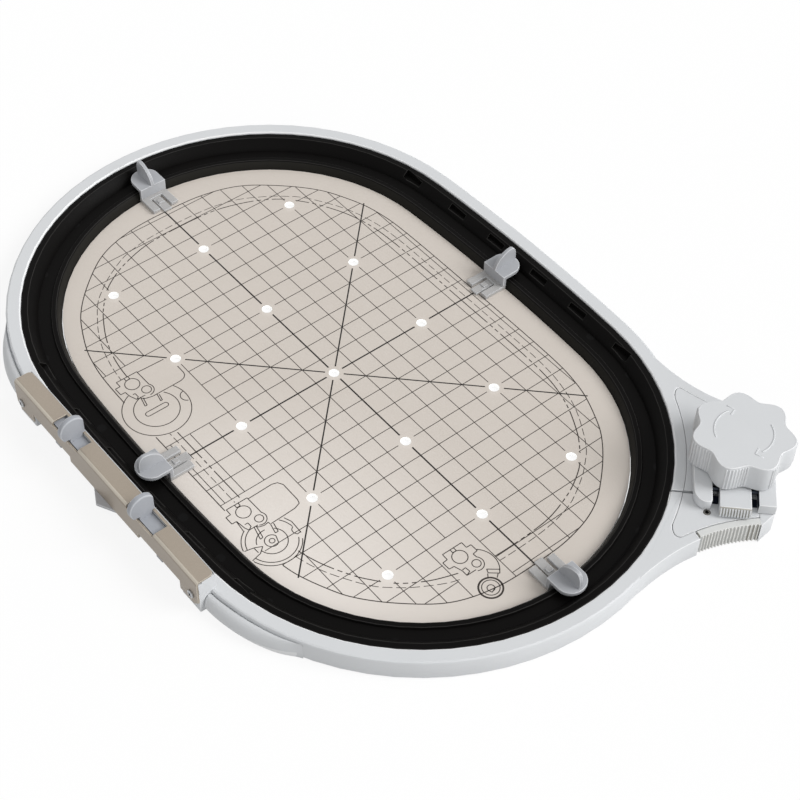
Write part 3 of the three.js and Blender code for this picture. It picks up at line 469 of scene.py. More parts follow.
def dressPaleRing():
    low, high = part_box("coupling_cover")
    margin = Vector((1, 1, 1)) * paleRing["coverMargin"] * mm
    work = softened("outer_ring", paleRing["edge"], crisp=(low - margin, high + margin))
    tops = [face for face in work.faces if face.normal.z > paleRing["level"]
            and abs(face.calc_center_median().z / mm - paleRing["top"]) < paleRing["topSpare"]]
    bmesh.ops.inset_region(work, faces=tops, thickness=paleRing["strip"] * mm, use_boundary=True,
                           use_even_offset=True)

    def atRim(vert):
        spot = (vert.co - hoopMiddle) / mm
        away = math.hypot(max(abs(spot.x) - arcCentre, 0), spot.y)
        return spot.z > paleRing["rimLow"] and away < paleRing["within"]

    paintHighlightOn(work, lambda face: face.normal.z > paleRing["highlightTilt"] and all(map(atRim, face.verts)))
    dressNode("outer_ring", work, "palePlastic", "outer")


# the black ring has a low wall beside the sheet painted lighter, as painted sheen
blackRing = {"edge": 0.18, "wallTop": 5.0, "upright": 0.7}


def dressBlackRing():
    def innerWall(face):
        middle = face.calc_center_median()
        low = middle.z < blackRing["wallTop"] * mm and abs(face.normal.z) < blackRing["upright"]
        return low and (hoopMiddle - middle).xy.dot(face.normal.xy) > 0

    work = softened("inner_ring", blackRing["edge"])
    dressNode("inner_ring", work, ["blackPlastic", "blackWallPaintedSheen"], "inner", innerWall)


# the cover has two round back corners, and a painted highlight along its bend
cover = {"corner": 2.0, "cornerSteps": 4, "cornerHeight": 0.5, "backSpare": 0.01, "edge": 0.12, "crestHighlight": 0.9,
         "crestLean": -0.1, "crestTilt": (0.55, 0.97)}


def dressCover():
    work = merged("coupling_cover")
    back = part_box("coupling_cover")[1].y
    corners = [edge for edge in work.edges
               if all(abs(vert.co.y - back) < cover["backSpare"] * mm for vert in edge.verts)
               and abs(edge.verts[0].co.z - edge.verts[1].co.z) > cover["cornerHeight"] * mm]
    rounded(work, corners, cover["corner"], cover["cornerSteps"])
    work = softened("coupling_cover", cover["edge"], work=work)
    least, most = cover["crestTilt"]
    paintHighlightOn(work, lambda face: cover["crestHighlight"] * (face.normal.y < cover["crestLean"]
                                                         and least < face.normal.z < most))
    dressNode("coupling_cover", work, "coverMetal", "outer")


def inSlot(spot, spare=0.0):
    return (lock["slotNear"] - spare < spot.x < lock["slotFar"] + spare
            and lock["shadeFrom"] < spot.y < lock["slotBack"] + spare)


# the housing is pale outside, and painted dark in the slot that the lever turns in, as painted shade
housing = {"edge": 0.3, "spare": 0.2, "shadeTop": 16.2}


def dressHousing():
    def inPaintedShade(face):
        return inSlot(inLock(face), housing["spare"]) and inLock(face).z < housing["shadeTop"]

    work = softened("lock_housing", housing["edge"])
    dressNode("lock_housing", work, ["palePlastic", "slotPaintedShade"], "outer", inPaintedShade)


# the neck covers are painted dark as painted shade where they are the floor of the lever slot, from a little behind
# its mouth
neckCovers = {"edge": 0.1, "floor": 10.5}


def dressNeckCovers():
    def inPaintedShade(face):
        return inSlot(inLock(face)) and inLock(face).z > neckCovers["floor"]

    borders = ((lock["slotNear"], (1, 0, 0)), (lock["slotFar"], (1, 0, 0)), (lock["shadeFrom"], (0, 1, 0)))
    for node in ("neck_cover_far", "neck_cover_near"):
        work = softened(node, neckCovers["edge"])
        for along, out in borders:
            bmesh.ops.bisect_plane(work, geom=[*work.verts, *work.edges, *work.faces],
                                   plane_co=fromLock(*(Vector(out) * along)),
                                   plane_no=lockPlace.to_3x3() @ Vector(out))
        dressNode(node, work, ["palePlastic", "slotPaintedShade"], "outer", inPaintedShade)


# the ribs of the grip pad are pale, and the walls of the grooves between them get painted shade
gripPad = {"edge": 0.12, "sideways": 0.7, "grooveTop": 9.5}


def dressGripPad():
    def inGroove(face):
        return abs(facingInLock(face).x) > gripPad["sideways"] and inLock(face).z < gripPad["grooveTop"]

    work = softened("grip_pad", gripPad["edge"])
    dressNode("grip_pad", work, ["gripPlastic", "grooveShade"], "outer", inGroove)


# the template has round holes, five by three of them about a middle hole, whose walls are painted white with a
# painted glow; in mm
sheetHoles = {"pitch": 50, "middle": -1.8, "wall": (1.9, 2.6), "upright": 0.9, "edge": 0.12}


def dressTemplate():
    pitch, middle = sheetHoles["pitch"], sheetHoles["middle"]
    least, most = sheetHoles["wall"]

    def isWall(face):
        spot = (face.calc_center_median() - hoopMiddle) / mm
        nearest = (round(spot.x / pitch) * pitch, round((spot.y - middle) / pitch) * pitch + middle)
        return least < math.dist(spot.xy, nearest) < most and abs(face.normal.z) < sheetHoles["upright"]

    work = softened("template_plate", sheetHoles["edge"])
    dressNode("template_plate", work, ["clearPlastic", "holeWallPaintedGlow"], "template", isWall)


dressLatches()
dressLatchSpring()
dressPaleRing()
dressBlackRing()
dressWings()
dressCover()
dressHousing()
dressNeckCovers()
dressGripPad()
dressTemplate()
print("rings, cover, lock housing and template dressed")

# solids inside the lock keep their own mesh
insideFinishes = {"lever_spring": "brightSteel", "lever_pin": "pinSteel", "draw_pinion": "whitePlastic",
                  "draw_rack": "whitePlastic"}
for node, finish in insideFinishes.items():
    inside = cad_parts[node].data
    inside.materials.clear()
    inside.materials.append(finishes[finish])


# draws an edge out along a run, and gives the edge at its end
def drawOut(work, edge, run):
    drawn = bmesh.ops.extrude_edge_only(work, edges=[edge])["geom"]
    moved = [each for each in drawn if isinstance(each, bmesh.types.BMVert)]
    bmesh.ops.translate(work, vec=run, verts=moved)
    return next(each for each in drawn if isinstance(each, bmesh.types.BMEdge)
                and all(vert in moved for vert in each.verts))


# turns all faces to one side
def faceTo(work, way):
    for face in work.faces:
        face.normal_update()
        if face.normal.dot(way) < 0:
            face.normal_flip()


# flat strokes for print and marks: a short edge is drawn out along a line or spun along an arc
def strokeLine(work, start, end, width):
    run = Vector(end) - Vector(start)
    if run.length < speck:
        return
    across = Vector((-run.y, run.x, 0)).normalized() * width / 2
    first = [work.verts.new(Vector(start) + across), work.verts.new(Vector(start) - across)]
    drawOut(work, work.edges.new(first), run)


arcChord = 1.2


def strokeArc(work, centre, radius, begin, sweep, width, chord=arcChord * mm):
    out = Vector((math.cos(math.radians(begin)), math.sin(math.radians(begin)), 0))
    first = [work.verts.new(Vector(centre) + out * (radius - width / 2)),
             work.verts.new(Vector(centre) + out * (radius + width / 2))]
    edge = work.edges.new(first)
    steps = max(3, math.ceil(abs(math.radians(sweep)) * radius / chord))
    bmesh.ops.spin(work, geom=[edge, *first], cent=centre, axis=(0, 0, 1), angle=math.radians(sweep), steps=steps,
                   use_merge=abs(sweep) >= 360)


# strokes face up and get a little thickness below
def settleStrokes(work, thickness):
    bmesh.ops.remove_doubles(work, verts=work.verts[:], dist=speck)
    faceTo(work, Vector((0, 0, 1)))
    bmesh.ops.solidify(work, geom=work.faces[:], thickness=thickness)
    return work


# the knob: ribs on one flank of each hollow, painted lighter as a painted highlight, and two raised arrows on its
# top, which is lowered by their height
knob = {"edge": 0.15, "lobes": 7, "restTurn": 4, "mean": 20.15, "wave": 1.75, "ribs": 8, "ribStep": 3.4,
        "ribLean": -11.5, "ribRadius": 0.36, "ribSides": 10, "ribEnd": 0.2, "ribStand": 0.06, "ribLow": 17.7,
        "ribHigh": 29.7, "ribHighlight": 0.5, "top": 30.8, "topSpare": 0.02, "relief": 0.24, "arrowRadius": 12.3,
        "arrowSweep": 95, "arrowStarts": (70, 247), "arrowShort": 14, "arrowWidth": 0.8, "arrowDepth": 0.36,
        "arrowRound": 0.3, "arrowCrest": 1.2, "headLength": 3.7, "headTurn": 45}


def dressKnob():
    work = softened("lock_knob", knob["edge"])
    top = [vert for vert in work.verts if vert.co.z > (knob["top"] - knob["topSpare"]) * mm]
    bmesh.ops.translate(work, vec=(0, 0, -knob["relief"] * mm), verts=top)
    dressNode("lock_knob", work, "palePlastic", "knob")


def ribKnob():
    work = bmesh.new()
    height = knob["ribHigh"] - knob["ribLow"]
    for hollow in range(knob["lobes"]):
        middle = 90 + knob["restTurn"] + (hollow + 0.5) * 360 / knob["lobes"]
        for rib in range(knob["ribs"]):
            off = math.radians((rib - (knob["ribs"] - 1) / 2) * knob["ribStep"] + knob["ribLean"])
            turn = math.radians(middle) + off
            out = knob["mean"] - knob["wave"] * math.cos(knob["lobes"] * off) + knob["ribStand"]
            place = lockPlace @ Matrix.Translation(Vector((
                lock["knobAlong"] + out * math.cos(turn), out * math.sin(turn), knob["ribLow"] + height / 2)) * mm)
            made = bmesh.ops.create_cone(work, cap_ends=True, segments=knob["ribSides"],
                                         radius1=knob["ribRadius"] * mm, radius2=knob["ribRadius"] * mm,
                                         depth=height * mm, matrix=place)
            rims = {each for vert in made["verts"] for each in vert.link_edges
                    if abs(each.verts[0].co.z - each.verts[1].co.z) < hair}
            rounded(work, list(rims), knob["ribEnd"])
    paintHighlightOn(work, lambda face: knob["ribHighlight"])
    addPiece("knob_ribs", work, "palePlastic", "knob")


def markKnob():
    work = bmesh.new()
    centre = fromLock(lock["knobAlong"], 0, knob["top"])
    radius, width = knob["arrowRadius"] * mm, knob["arrowWidth"] * mm
    for begin in knob["arrowStarts"]:
        strokeArc(work, centre, radius, begin, -(knob["arrowSweep"] - knob["arrowShort"]), width)
        tipTurn = math.radians(begin - knob["arrowSweep"])
        tip = centre + Vector((math.cos(tipTurn), math.sin(tipTurn), 0)) * radius
        ahead = Vector((math.sin(tipTurn), -math.cos(tipTurn), 0))
        for side in (-1, 1):
            barb = Matrix.Rotation(math.radians(180 + side * knob["headTurn"]), 3, "Z") @ ahead
            strokeLine(work, tip, tip + barb * knob["headLength"] * mm, width)
    settleStrokes(work, knob["arrowDepth"] * mm)
    crest = [each for each in work.edges if len(each.link_faces) == 2
             and each.calc_face_angle(0.0) > knob["arrowCrest"]
             and all(abs(vert.co.z - centre.z) < hair for vert in each.verts)]
    rounded(work, crest, knob["arrowRound"])
    addPiece("knob_arrows", work, "palePlastic", "knob", sharpAngle=60)


dressKnob()
ribKnob()
markKnob()

# the lever has ribs under its lip, each drawn down along the curve of the nose, over a ground of painted shade
lever = {"edge": 0.3, "noseFrom": -28.6, "noseTilt": -0.3, "ribs": 11, "first": 126.95, "last": 138.75,
         "width": 0.62, "stand": 0.5, "thick": 0.75,
         "path": ((-28.95, 15.95), (-29.3, 15.5), (-29.55, 14.95), (-29.83, 14.1), (-30.05, 13.1), (-30.2, 12.1))}


def dressLever():
    def underLip(face):
        return inLock(face).y < lever["noseFrom"] and facingInLock(face).y < lever["noseTilt"]

    work = softened("release_lever", lever["edge"])
    dressNode("release_lever", work, ["palePlastic", "grooveShade"], "lever", underLip)


def ribLever():
    work = bmesh.new()
    across = lockPlace.to_3x3() @ Vector((lever["width"] * mm / 2, 0, 0))
    for rib in range(lever["ribs"]):
        along = lever["first"] + (lever["last"] - lever["first"]) * rib / (lever["ribs"] - 1)
        path = [fromLock(along, v - lever["stand"], z) for v, z in lever["path"]]
        edge = work.edges.new([work.verts.new(path[0] - across), work.verts.new(path[0] + across)])
        for here, there in zip(path, path[1:]):
            edge = drawOut(work, edge, there - here)
    faceTo(work, lockPlace.to_3x3() @ Vector((0, -1, 0)))
    bmesh.ops.solidify(work, geom=work.faces[:], thickness=lever["thick"] * mm)
    addPiece("lever_ribs", work, "palePlastic", "lever")


dressLever()
ribLever()
print("knob and lever dressed")

roundSteps = 24


# a screw turned from half profile points about an axis through a spot
def turnedScrew(spot, axis, points):
    work = bmesh.new()
    rim = [work.verts.new(point) for point in points]
    edges = [work.edges.new(pair) for pair in zip(rim, rim[1:])]
    bmesh.ops.spin(work, geom=[*rim, *edges], cent=spot, axis=axis, angle=math.tau, steps=roundSteps, use_merge=True)
    bmesh.ops.remove_doubles(work, verts=work.verts[:], dist=hair)
    bmesh.ops.recalc_face_normals(work, faces=work.faces[:])
    return work


# the cover screws have a crowned head with a dark cross, painted shade for the cross recess, in mm and degrees
coverScrew = {"head": 1.9, "height": 0.8, "shank": 1.1, "crown": ((0.55, 0.02), (0.85, 0.12), (1.0, 0.264)),
              "crossLength": 2.3, "crossWidth": 0.55, "crossTurns": (25, 115), "crossLift": 0.01, "crossDepth": 0.05}


def dressCoverScrew(side):
    node = "cover_screw_" + side
    low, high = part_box(node)
    spot = Vector(((low.x + high.x) / 2, low.y, (low.z + high.z) / 2))
    head, shank, length = coverScrew["head"], coverScrew["shank"], (high.y - low.y) / mm
    profile = [(0, 0), *[(head * out, deep) for out, deep in coverScrew["crown"]], (head, coverScrew["height"]),
               (shank, coverScrew["height"]), (shank, length), (0, length)]
    work = turnedScrew(spot, (0, 1, 0), [spot + Vector((out, deep, 0)) * mm for out, deep in profile])
    dressNode(node, work, "brightSteel", "outer")
    cross = bmesh.new()
    face = spot - Vector((0, coverScrew["crossLift"] * mm, 0))
    for turn in coverScrew["crossTurns"]:
        arm = Matrix.Rotation(math.radians(turn), 3, "Y") @ Vector((coverScrew["crossLength"] * mm / 2, 0, 0))
        across = Matrix.Rotation(math.radians(90), 3, "Y") @ arm.normalized() * coverScrew["crossWidth"] * mm / 2
        first = [cross.verts.new(face - arm + across), cross.verts.new(face - arm - across)]
        drawOut(cross, cross.edges.new(first), arm * 2)
    faceTo(cross, Vector((0, -1, 0)))
    bmesh.ops.solidify(cross, geom=cross.faces[:], thickness=coverScrew["crossDepth"] * mm)
    addPiece("cover_screw_shade_cross_" + side, cross, "markPlastic", "outer")


# the neck cover screw has a socket in a flat head, painted black as painted shade
neckScrew = {"socket": 0.8, "taper": 0.15, "depth": 0.6, "spare": 0.1, "rim": 1.5, "rimRound": 0.2, "height": 1.0,
             "shank": 1.1}


def dressNeckScrew():
    low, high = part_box("neck_cover_screw")
    spot = Vector(((low.x + high.x) / 2, (low.y + high.y) / 2, high.z))
    socket, depth, rim, shank = (neckScrew[name] for name in ("socket", "depth", "rim", "shank"))
    height, length, cut = neckScrew["height"], (high.z - low.z) / mm, neckScrew["rimRound"]
    profile = [(0, -depth), (socket - neckScrew["taper"], -depth), (socket, 0), (rim - cut, 0), (rim, -cut),
               (rim, -height), (shank, -height), (shank, -length), (0, -length)]
    work = turnedScrew(spot, (0, 0, 1), [spot + Vector((out, 0, up)) * mm for out, up in profile])

    def inSocket(face):
        middle = (face.calc_center_median() - spot) / mm
        return middle.z > -depth - neckScrew["spare"] and middle.xy.length < socket

    dressNode("neck_cover_screw", work, ["screwSteel", "markPlastic"], "outer", inSocket)


for side in ("left", "right"):
    dressCoverScrew(side)
dressNeckScrew()
print("screws turned")

# round moulding marks on the floor of the black channel, in mm and degrees
mouldMarks = {"radius": 2.1, "height": 5.23, "border": 0.25, "raise": -0.02, "thick": 0.05, "endTurns": (74, 44, 24),
              "endReach": 102.4, "sideReach": 100.7, "near": (-33.5, 27.4, 53.7), "far": (55.5,)}


def dressChannel():
    work = bmesh.new()
    reach = mouldMarks["endReach"]
    turns = [math.radians(turn) for turn in mouldMarks["endTurns"]]
    spots = [(end * (arcCentre + reach * math.cos(turn)), side * reach * math.sin(turn))
             for turn in turns for end in (-1, 1) for side in (-1, 1)]
    spots += [(x, -mouldMarks["sideReach"]) for x in mouldMarks["near"]]
    spots += [(x, mouldMarks["sideReach"]) for x in mouldMarks["far"]]
    for x, y in spots:
        place = Matrix.Translation(hoopMiddle + Vector((x, y, mouldMarks["height"])) * mm)
        made = bmesh.ops.create_circle(work, cap_ends=True, segments=roundSteps, radius=mouldMarks["radius"] * mm,
                                       matrix=place)
        bmesh.ops.inset_region(work, faces=made["verts"][0].link_faces[:], thickness=mouldMarks["border"] * mm,
                               depth=mouldMarks["raise"] * mm, use_even_offset=True)
    bmesh.ops.recalc_face_normals(work, faces=work.faces[:])
    faceTo(work, Vector((0, 0, 1)))
    bmesh.ops.solidify(work, geom=work.faces[:], thickness=mouldMarks["thick"] * mm)
    addPiece("channel_marks", work, "markPlastic", "inner")


dressChannel()

# print on the template, in mm from its middle hole; the fields without print are x from, x to, y from, y to
sheetPrint = {"pitch": 10, "columns": 13, "rows": 8, "lineWidth": 0.36, "axisWidth": 0.7, "crossWidth": 0.62,
              "halo": 4.2, "sample": 0.25, "shortest": 0.4, "gridLift": 0.02, "curveLift": 0.03, "axisLift": 0.04,
              "depth": 0.02, "axisDepth": 0.03, "axisX": 132.4, "axisY": 82.4, "diagonal": 79.0,
              "gridBlanks": ((-60, -10, -83, -50), (30, 60, -83, -50), (60, 70, -83, -60), (100, 132, -30, -10)),
              "outlineBlanks": ((-41.7, -17.9, -84, -80), (34, 69.5, -84, -80)),
              "dashBlanks": ((-54, -15.5, -83, -60), (33, 68, -83, -60), (105, 123, -27, -10.5))}

# a quarter of each printed oval, from the middle of a side to the middle of an end
printOvals = {
    "outline": {"width": 0.46, "pattern": (), "blanks": "outlineBlanks", "quarter": (
        (0, 82.4), (25, 82.4), (46, 82.2), (60, 81.6), (69.3, 80.3), (78.3, 78.1), (89.2, 73.6), (98.8, 68.4),
        (109, 59.8), (119.3, 48.4), (125.4, 39.5), (129.3, 29.7), (131.7, 18), (132.4, 8), (132.4, 0))},
    "dashed": {"width": 0.32, "pattern": (4.0, 1.5), "blanks": "dashBlanks", "quarter": (
        (0, 76.6), (25, 76.6), (46, 76.4), (60, 75.4), (70, 73.4), (78, 71.0), (85, 67.9), (92, 63.9), (97.5, 60.4),
        (102, 56.8), (106, 52.3), (110.5, 46.6), (116.2, 37), (119.2, 30), (121.4, 20), (122.3, 10), (122.5, 0))},
    "chained": {"width": 0.46, "pattern": (18.2, 1.6, 2.1, 1.5, 2.1, 1.6), "blanks": "dashBlanks", "quarter": (
        (0, 73.6), (25, 73.6), (46, 73.3), (60, 72.4), (70, 70.5), (80, 67.1), (90, 62.0), (96.5, 57.7), (105.2, 50),
        (111.8, 40), (115.9, 30), (118.6, 20), (119.5, 10), (119.7, 0))},
}
printHoles = [(x * sheetHoles["pitch"], y * sheetHoles["pitch"]) for x in range(-2, 3) for y in range(-1, 2)]


def onSheet(x, y, lift):
    return Vector((hoopMiddle.x + x * mm, hoopMiddle.y + (y + sheetHoles["middle"]) * mm, plateTop + lift * mm))


def isBlank(x, y, blanks):
    if any(math.hypot(x - hx, y - hy) < sheetPrint["halo"] for hx, hy in printHoles):
        return True
    return any(x0 < x < x1 and y0 < y < y1 for x0, x1, y0, y1 in blanks)


# stretches of a straight line that cross no halo and no blank field
def clearStretches(start, end, blanks):
    length = math.dist(start, end)
    steps = max(2, round(length / sheetPrint["sample"]))
    stretches, begin = [], None
    for step in range(steps + 1):
        share = step / steps
        x = start[0] + (end[0] - start[0]) * share
        y = start[1] + (end[1] - start[1]) * share
        if isBlank(x, y, blanks):
            if begin is not None:
                stretches.append((begin, (x, y)))
            begin = None
        elif begin is None:
            begin = (x, y)
    if begin is not None:
        stretches.append((begin, end))
    return [pair for pair in stretches if math.dist(*pair) > sheetPrint["shortest"]]


def printStraight(work, start, end, width, lift, blanks):
    for near, far in clearStretches(start, end, blanks):
        strokeLine(work, onSheet(*near, lift), onSheet(*far, lift), width * mm)


# the whole oval as a closed row of points about 1 mm apart, smooth through the points of its quarter
def ovalPoints(quarter):
    ahead = [(-quarter[1][0], quarter[1][1]), *quarter, (quarter[-2][0], -quarter[-2][1])]
    bend = []
    for before, start, end, after in zip(ahead, ahead[1:], ahead[2:], ahead[3:]):
        steps = math.ceil(math.dist(start, end))
        for step in range(steps):
            t = step / steps
            bend.append(tuple(0.5 * (2 * s + (e - b) * t + (2 * b - 5 * s + 4 * e - a) * t ** 2
                                     + (3 * s - b - 3 * e + a) * t ** 3)
                              for b, s, e, a in zip(before, start, end, after)))
    half = bend + [(x, -y) for x, y in [quarter[-1], *reversed(bend[1:])]]
    return half + [(-x, -y) for x, y in half] + [half[0]]


# how far a closed line reaches to the right at a height
def reachIn(line, across):
    crossed = [a[0] + (b[0] - a[0]) * (across - a[1]) / (b[1] - a[1])
               for a, b in zip(line, line[1:]) if (a[1] - across) * (b[1] - across) <= 0 and a[1] != b[1]]
    return max(crossed)


def layInk(name, work, ink="printInk", depth=sheetPrint["depth"]):
    addPiece(name, settleStrokes(work, depth * mm), ink, "template")


def printGrid():
    work = bmesh.new()
    line = ovalPoints(printOvals["outline"]["quarter"])
    turned = [(y, x) for x, y in line]
    for count, border, upright in ((sheetPrint["columns"], turned, True), (sheetPrint["rows"], line, False)):
        for row in range(-count, count + 1):
            at = row * sheetPrint["pitch"]
            if at:
                reach = reachIn(border, at)
                start, end = ((at, side * reach) if upright else (side * reach, at) for side in (-1, 1))
                printStraight(work, start, end, sheetPrint["lineWidth"], sheetPrint["gridLift"],
                              sheetPrint["gridBlanks"])
    layInk("template_grid", work)


def printOval(name):
    look = printOvals[name]
    blanks, width, lift = sheetPrint[look["blanks"]], look["width"] * mm, sheetPrint["curveLift"]
    work = bmesh.new()
    points = ovalPoints(look["quarter"])
    pattern, turn, left = look["pattern"], 0, look["pattern"][0] if look["pattern"] else math.inf
    for near, far in zip(points, points[1:]):
        length, done = math.dist(near, far), 0.0
        while length - done > 1e-6:
            part = min(left, length - done)
            ends = [tuple(n + (f - n) * at / length for n, f in zip(near, far)) for at in (done, done + part)]
            if turn % 2 == 0 and not isBlank(*ends[0], blanks) and not isBlank(*ends[1], blanks):
                strokeLine(work, onSheet(*ends[0], lift), onSheet(*ends[1], lift), width)
            done, left = done + part, left - part
            if left < 1e-6:
                turn = (turn + 1) % len(pattern)
                left = pattern[turn]
    layInk("template_" + name, work)


def printAxes():
    work = bmesh.new()
    reach = sheetPrint["diagonal"]
    for ahead, width in (((sheetPrint["axisX"], 0), "axisWidth"), ((0, sheetPrint["axisY"]), "axisWidth"),
                         ((reach, -reach), "crossWidth"), ((reach, reach), "crossWidth")):
        behind = (-ahead[0], -ahead[1])
        printStraight(work, behind, ahead, sheetPrint[width], sheetPrint["axisLift"], ())
    layInk("template_axes", work, "axisInk", sheetPrint["axisDepth"])


# outlines of three sewing feet: rings are x, y, radius, begin and sweep in degrees, and runs are open lines
footPrint = {
    "width": 0.4, "chord": 0.6,
    "rings": (
        (-30.3, -73.2, 15.0, -159, 277), (-30.4, -73.1, 10.0, -166, 295), (-49, -73.5, 3.3, 0, 360),
        (-42.6, -70.3, 2.15, 0, 360), (-42.5, -70.6, 3.5, -2, 127), (-29, -58.3, 3.0, -176, 153),
        (-30.2, -68.7, 1.25, 0, 180), (-30.2, -77.6, 1.25, 180, 180),
        (57.6, -76.3, 12.5, -152, 49), (57.6, -76.3, 12.5, -72, 130), (57.6, -76.2, 10.9, -158, 55),
        (57.6, -76.2, 10.9, -74, 136), (57.6, -76.2, 10.9, 95, 34), (57.7, -76.2, 6.5, -80, 218),
        (57.7, -76.2, 6.5, 172, 78), (57.5, -76.3, 3.0, 110, 262), (57.6, -76.2, 1.2, 0, 360),
        (38.4, -76.7, 3.2, 0, 360), (45.1, -73.6, 1.9, 0, 360), (45.1, -73.8, 3.4, -33, 162),
        (111, -21.5, 3.3, 0, 360), (117.6, -18.3, 1.9, 0, 360), (117.6, -18.7, 3.5, -27, 161),
        (119.4, -20.3, 9.7, 47, 90), (130.3, -21.7, 5.2, 0, 360), (130.3, -21.7, 4.8, 0, 360),
        (130.2, -21.6, 3.7, 0, 360), (130.4, -21.7, 1.6, 0, 290)),
    "runs": (
        ((-31.45, -68.7), (-31.45, -77.6)), ((-28.95, -68.7), (-28.95, -77.6)),
        ((-44.5, -67.8), (-54, -67.9), (-54, -78.5), (-51, -78.5), (-51, -80.9), (-46.8, -80.9), (-46.8, -78.6),
        (-43.6, -78.2), (-40.3, -76.9), (-40.2, -72.6)),
        ((-40.1, -75.3), (-38.5, -73.7), (-37.6, -70.4)),
        ((-54, -74.6), (-52.2, -74.6), (-52.2, -72.6), (-54, -72.6)),
        ((-43.7, -76.7), (-43.6, -75.6), (-41.2, -75.5), (-40.4, -76.8)),
        ((-40, -75), (-34.9, -76.2), (-34.8, -75.2), (-39.4, -74.2)),
        ((-37.4, -68.3), (-33.3, -69.2), (-33.3, -68.3), (-36.8, -67.6)),
        ((-53.5, -68), (-53, -54.5)),
        ((-45.8, -51.9), (-41.3, -51.9), (-39.6, -52.3), (-38.3, -53.6), (-37.7, -55.6), (-37.6, -70.3)),
        ((61.5, -64.4), (54.6, -64.1), (51.1, -65.4)),
        ((56.5, -73.5), (58.1, -74), (59.9, -74.6), (60.5, -75.7)),
        ((42.9, -71), (33.3, -71.2), (33.2, -81.6), (36.3, -81.7), (36.4, -84.1), (40.6, -84.1), (40.7, -81.8),
        (45.7, -81.1), (47.5, -80.3), (47.5, -76)),
        ((47.6, -77), (48.7, -76.2), (49.3, -74.1), (49, -71.8), (50.4, -71.7)),
        ((33.2, -77.5), (34.9, -77.6), (34.9, -75.8), (33.2, -75.7)),
        ((44.1, -80.1), (44.1, -78.6), (46.4, -78.6), (47.4, -80.2)),
        ((47.6, -77.9), (54.1, -79.5), (53.9, -78.1), (47.7, -76.9)),
        ((50.5, -71.7), (55.2, -72.8), (55.3, -71.4), (50.7, -70.4)),
        ((55.1, -88.2), (56, -84.1), (57.6, -80.9), (59.9, -83.7), (60.9, -88.3)),
        ((56.1, -84.2), (59.1, -84.1)),
        ((56.9, -65.3), (58.1, -66.7), (59.7, -66.9), (61.2, -66.1), (61.1, -64.6)),
        ((34, -71), (33.8, -58.9), (34.6, -56.5), (36.9, -55.2), (46.8, -55.3), (48.9, -55.9), (49.9, -58.9),
        (50.1, -64.6), (50.3, -71.3)),
        ((40.8, -81.9), (46.5, -82.5)),
        ((115.2, -16.2), (113.2, -16.3), (112.9, -13.9), (109.1, -14), (109, -16.3), (105.9, -16.3),
        (105.8, -26.3), (108.9, -26.4), (109.1, -28.9), (113, -28.8), (113.2, -26.4), (117, -25.2),
        (119.8, -25.2), (119.9, -20.5)),
        ((105.8, -22.4), (107.7, -22.4), (107.7, -20.6), (105.8, -20.6)),
        ((116.6, -24.9), (116.5, -23.2), (118.9, -23), (119.8, -25.2)),
        ((122.3, -17), (125.6, -12.9), (127.1, -14.1), (124.1, -17.7), (122.3, -17)),
        ((124.2, -18.1), (125.6, -19.1)), ((126.8, -14.8), (128.1, -16.4)),
        ((131.3, -20.4), (132.3, -22.7), (130.9, -23.2))),
}


def printFeet():
    work = bmesh.new()
    width, lift = footPrint["width"] * mm, sheetPrint["curveLift"]
    for x, y, radius, begin, sweep in footPrint["rings"]:
        strokeArc(work, onSheet(x, y, lift), radius * mm, begin, sweep, width, footPrint["chord"] * mm)
    for run in footPrint["runs"]:
        for near, far in zip(run, run[1:]):
            strokeLine(work, onSheet(*near, lift), onSheet(*far, lift), width)
    layInk("template_feet", work)


printGrid()
for oval in printOvals:
    printOval(oval)
printAxes()
printFeet()
print("template printed")

# floor, light and camera
stageLook = {"floorSize": 3.0, "floorDrop": 0.02, "floorTone": 0.62, "whiteShare": 0.86, "skyLight": 0.50,
             "soft": 35, "lamps": {"key": ((0.6, 0.5, 0.62), 2.15), "fill": ((0.75, -0.45, 0.5), 0.3)}}
white = (1.0, 1.0, 1.0, 1.0)


# 1 for rays that see the background directly, in a mirror or through clear plastic
def lightPathShare(pen):
    seen = pen.node("LightPath", out="Is Camera Ray")
    for other in ("Is Glossy Ray", "Is Transmission Ray"):
        seen = pen.math("MAXIMUM", seen, pen.node("LightPath", out=other))
    return seen


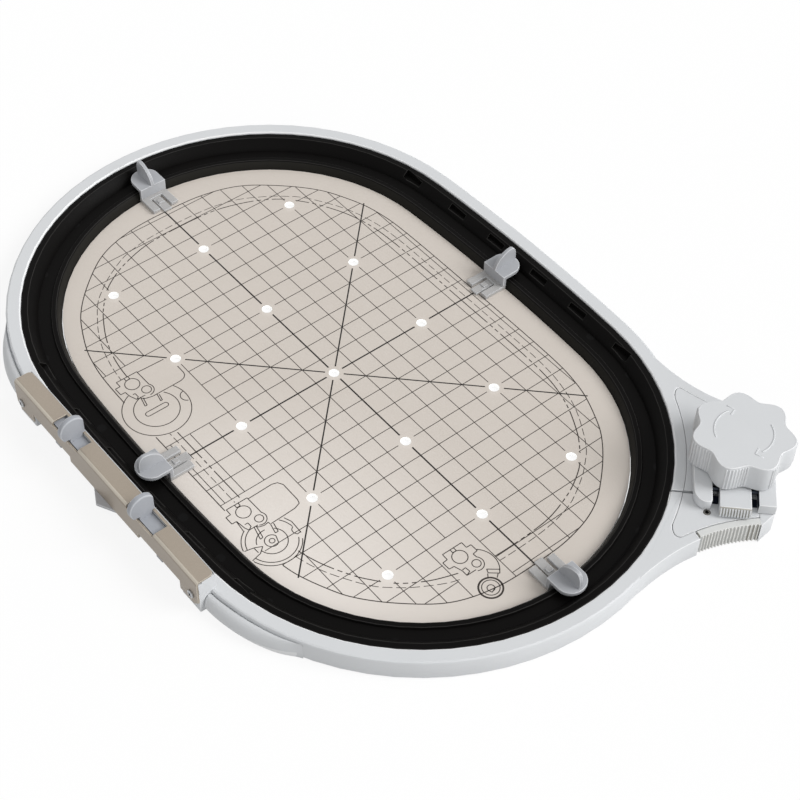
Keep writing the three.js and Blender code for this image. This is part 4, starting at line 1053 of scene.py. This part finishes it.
def layStage():
    look = stageLook
    work = bmesh.new()
    bmesh.ops.create_grid(work, x_segments=1, y_segments=1, size=look["floorSize"],
                          matrix=Matrix.Translation((0, 0, -look["floorDrop"] * mm)))
    mesh = bpy.data.meshes.new("floor")
    work.to_mesh(mesh)
    work.free()
    floor = bpy.data.objects.new("floor", mesh)
    bpy.context.scene.collection.objects.link(floor)
    material, pen = blankFinish("floorWhite")
    seen = lightPathShare(pen)
    tone = pen.blend(seen, (look["floorTone"],) * 3 + (1.0,), white)
    dull = pen.node("BsdfDiffuse", {}, {"Color": tone})
    glow = pen.node("Emission", {}, {"Color": white, "Strength": 1.0})
    both = pen.node("MixShader", {}, {0: seen * look["whiteShare"], 1: dull, 2: glow})
    pen.node("OutputMaterial", {}, {"Surface": both})
    mesh.materials.append(material)

    world = bpy.data.worlds.new("studio")
    world.use_nodes = True
    world.node_tree.nodes.clear()
    sky = Wire(world.node_tree)
    level = look["skyLight"] + lightPathShare(sky) * (1 - look["skyLight"])
    ground = sky.node("Background", {}, {"Color": white, "Strength": level})
    sky.node("OutputWorld", {}, {"Surface": ground})
    bpy.context.scene.world = world

    for name, (turn, power) in look["lamps"].items():
        lamp = bpy.data.lights.new(name, "SUN")
        lamp.energy, lamp.angle = power, math.radians(look["soft"])
        holder = bpy.data.objects.new(name, lamp)
        holder.rotation_euler = Vector(turn).to_track_quat("Z", "Y").to_euler()
        holder.location = Vector(turn)
        bpy.context.scene.collection.objects.link(holder)


# place from the middle of the hoop, turn in degrees, lens and sensor in mm
view = {"place": (0.422774, -0.322403, 0.582109), "turn": (41.60081384, -1.15358786, 50.95099781),
        "lens": 80.18286, "sensor": 36.0, "clip": (0.01, 20.0)}


def aimCamera():
    camera = bpy.data.cameras.new("camera")
    camera.lens, camera.sensor_width = view["lens"], view["sensor"]
    camera.clip_start, camera.clip_end = view["clip"]
    holder = bpy.data.objects.new("camera", camera)
    holder.location = hoopMiddle + Vector(view["place"])
    holder.rotation_euler = [math.radians(turn) for turn in view["turn"]]
    bpy.context.scene.collection.objects.link(holder)
    bpy.context.scene.camera = holder


layStage()
aimCamera()
bpy.context.scene.view_settings.view_transform = "Standard"
print("stage and camera set")
